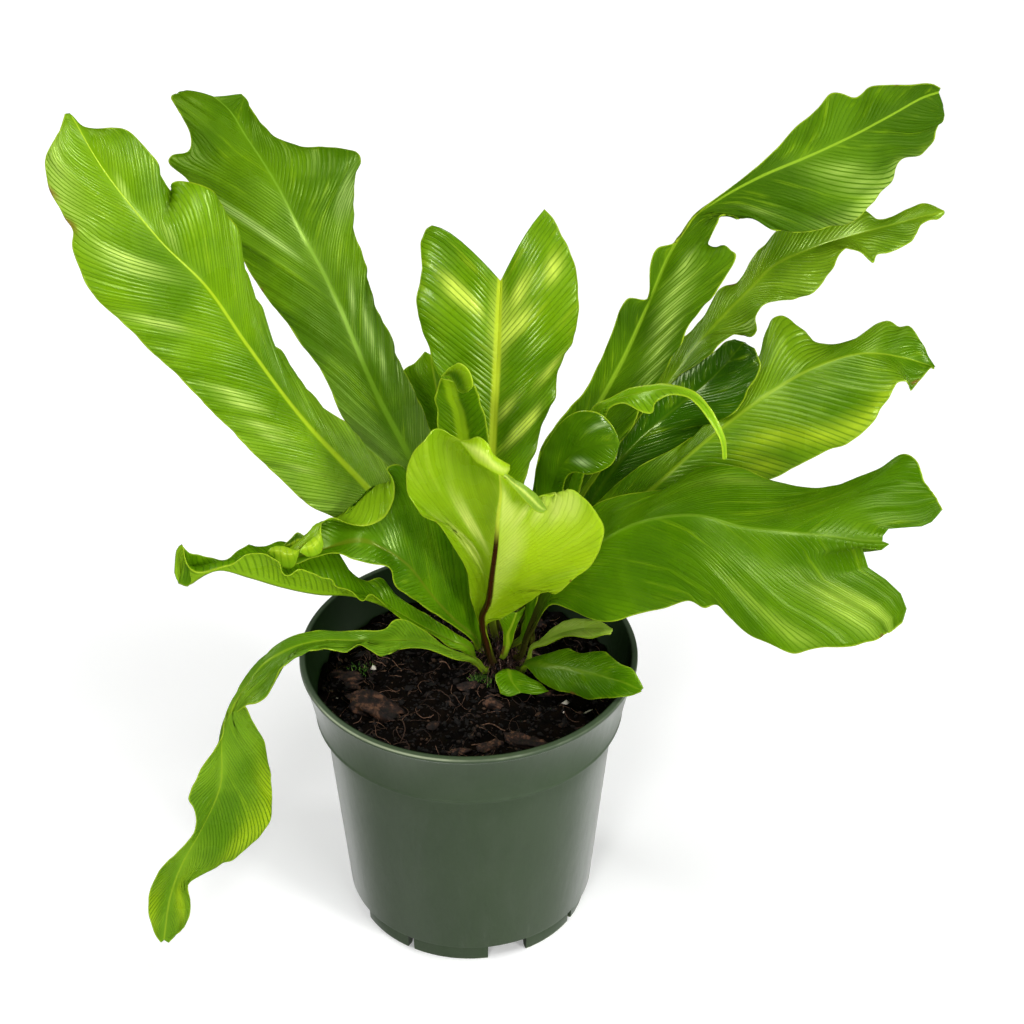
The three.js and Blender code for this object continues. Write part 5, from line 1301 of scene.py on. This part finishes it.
def make_crown_hairs():
    """Fine curled roots and hairs round the foot of the crown."""
    heap = Heap(17)
    draw = heap.draw
    for _ in range(HAIR_COUNT):
        turn = draw.uniform(0, 2 * np.pi)
        start, out = crown_place(turn, draw.uniform(0.0, 1.1), 0.95)
        share = np.linspace(0, 1, 8)[:, None]
        flat = unit(np.array([out[0], out[1], 0.0]))
        side = np.cross(flat, (0, 0, 1))
        length = draw.uniform(4, 11)
        path = start + length * share * (flat * 0.75 + out * 0.3)
        path = path + side * draw.uniform(-3, 3) * share ** 1.5
        path[:, 2] += (1.6 * np.sin(share * draw.uniform(2, 5)) * draw.uniform(0.3, 1))[:, 0]
        floor_height = soil_height(path[:, 0], path[:, 1]) + 0.6
        path[:, 2] = np.maximum(path[:, 2] - 4 * share[:, 0] ** 2, floor_height)
        thick = draw.uniform(0.1, 0.26)
        points, faces = strand(path, np.linspace(1, 0.4, 8) * thick, thick, np.array([0.1, 0.2, 1.0]))
        heap.add(points, faces, draw.uniform(0.1, 1.0))
    heap.piece("crown_hairs", "crown")


def make_moss():
    """Moss tufts on the soil by the crown."""
    heap = Heap(29)
    draw = heap.draw
    for centre, spread, count in MOSS_TUFTS:
        for _ in range(count):
            start = on_soil(centre[0] + draw.normal(0, spread), centre[1] + draw.normal(0, spread), -0.4)
            way = unit(np.array([draw.uniform(-0.8, 0.8), draw.uniform(-0.8, 0.8), 1.0]))
            length = draw.uniform(1.2, 3.2)
            share = np.linspace(0, 1, 5)[:, None]
            path = start + way * length * share + np.array([0.5, -0.3, 0]) * draw.uniform(-1, 1) * share ** 2
            points, faces = strand(path, [0.16, 0.3, 0.28, 0.18, 0.04], 0.1, np.array([0.8, 0.6, 0.1]))
            heap.add(points, faces, draw.uniform(0, 1))
    heap.piece("moss_tufts", "soil")


# Studio: lamps by azimuth and elevation in degrees, size in metres and power in watts
LAMP_REACH = 1.5
LAMP_CENTRE = np.array([0.02, 0.0, 0.25])
LAMPS = (
    ("key_softbox", 318, 14, 0.3, 11.0),
    ("front_softbox", 255, 18, 0.3, 7.5),
    ("top_softbox", 300, 66, 0.7, 13.0),
    ("back_softbox", 150, 36, 0.5, 8.0),
    ("right_strip", 4, 12, 0.35, 7.0),
    ("left_strip", 176, 12, 0.35, 4.5),
)
FLOOR_REACH = 4000


def make_studio():
    data = bpy.data.cameras.new("photo_camera")
    data.sensor_width = 36.0
    data.lens = 103.18
    camera = linked_object("photo_camera", data)
    camera.location = (0.020, -1.067, 0.976)
    camera.rotation_euler = (math.radians(54.7), 0, 0)
    bpy.context.scene.camera = camera

    world = bpy.data.worlds.new("studio")
    world.use_nodes = True
    background = world.node_tree.nodes["Background"].inputs
    background["Color"].default_value = (1, 1, 1, 1)
    background["Strength"].default_value = 0.22
    world.cycles_visibility.glossy = False
    bpy.context.scene.world = world
    bpy.context.scene.view_settings.view_transform = "Standard"

    for name, azimuth, elevation, size, power in LAMPS:
        data = bpy.data.lights.new(name, "AREA")
        data.size = size
        data.energy = power
        lamp = linked_object(name, data)
        way = direction(math.radians(azimuth), math.radians(elevation))
        lamp.location = way * LAMP_REACH + LAMP_CENTRE
        lamp.rotation_euler = Vector(-way).to_track_quat("-Z", "Y").to_euler()
        lamp.visible_camera = False

    corners = [(x * FLOOR_REACH, y * FLOOR_REACH, 0) for x, y in ((-1, -1), (1, -1), (1, 1), (-1, 1))]
    floor = bare_object("studio_floor", corners, [(0, 1, 2, 3)])
    floor.data.materials.append(floor_material())
    floor.visible_glossy = False


def floor_material():
    """A pale floor with a faint glow of its own, which grows with the distance from the pot."""
    kit = Shader("pale_floor")
    distance = kit.vector("LENGTH", {0: kit.coords("Object")})["Value"]
    skin = kit.node("BsdfPrincipled", {
        "Base Color": (0.93, 0.93, 0.93), "Roughness": 0.9, "Specular IOR Level": 0.1,
        "Emission Color": (1, 1, 1), "Emission Strength": kit.ramp(distance, 0.25, 1.2, 0.17, 0.4)})
    return kit.finish(skin.outputs[0])


make_studio()
for name, frond in FRONDS.items():
    make_frond(name, frond)
for name, flap in FLAPS.items():
    make_flap(name, flap)
make_pot()
make_soil()
make_crumbs()
make_roots()
make_bark()
make_perlite()
make_crown()
make_crown_hairs()
make_moss()
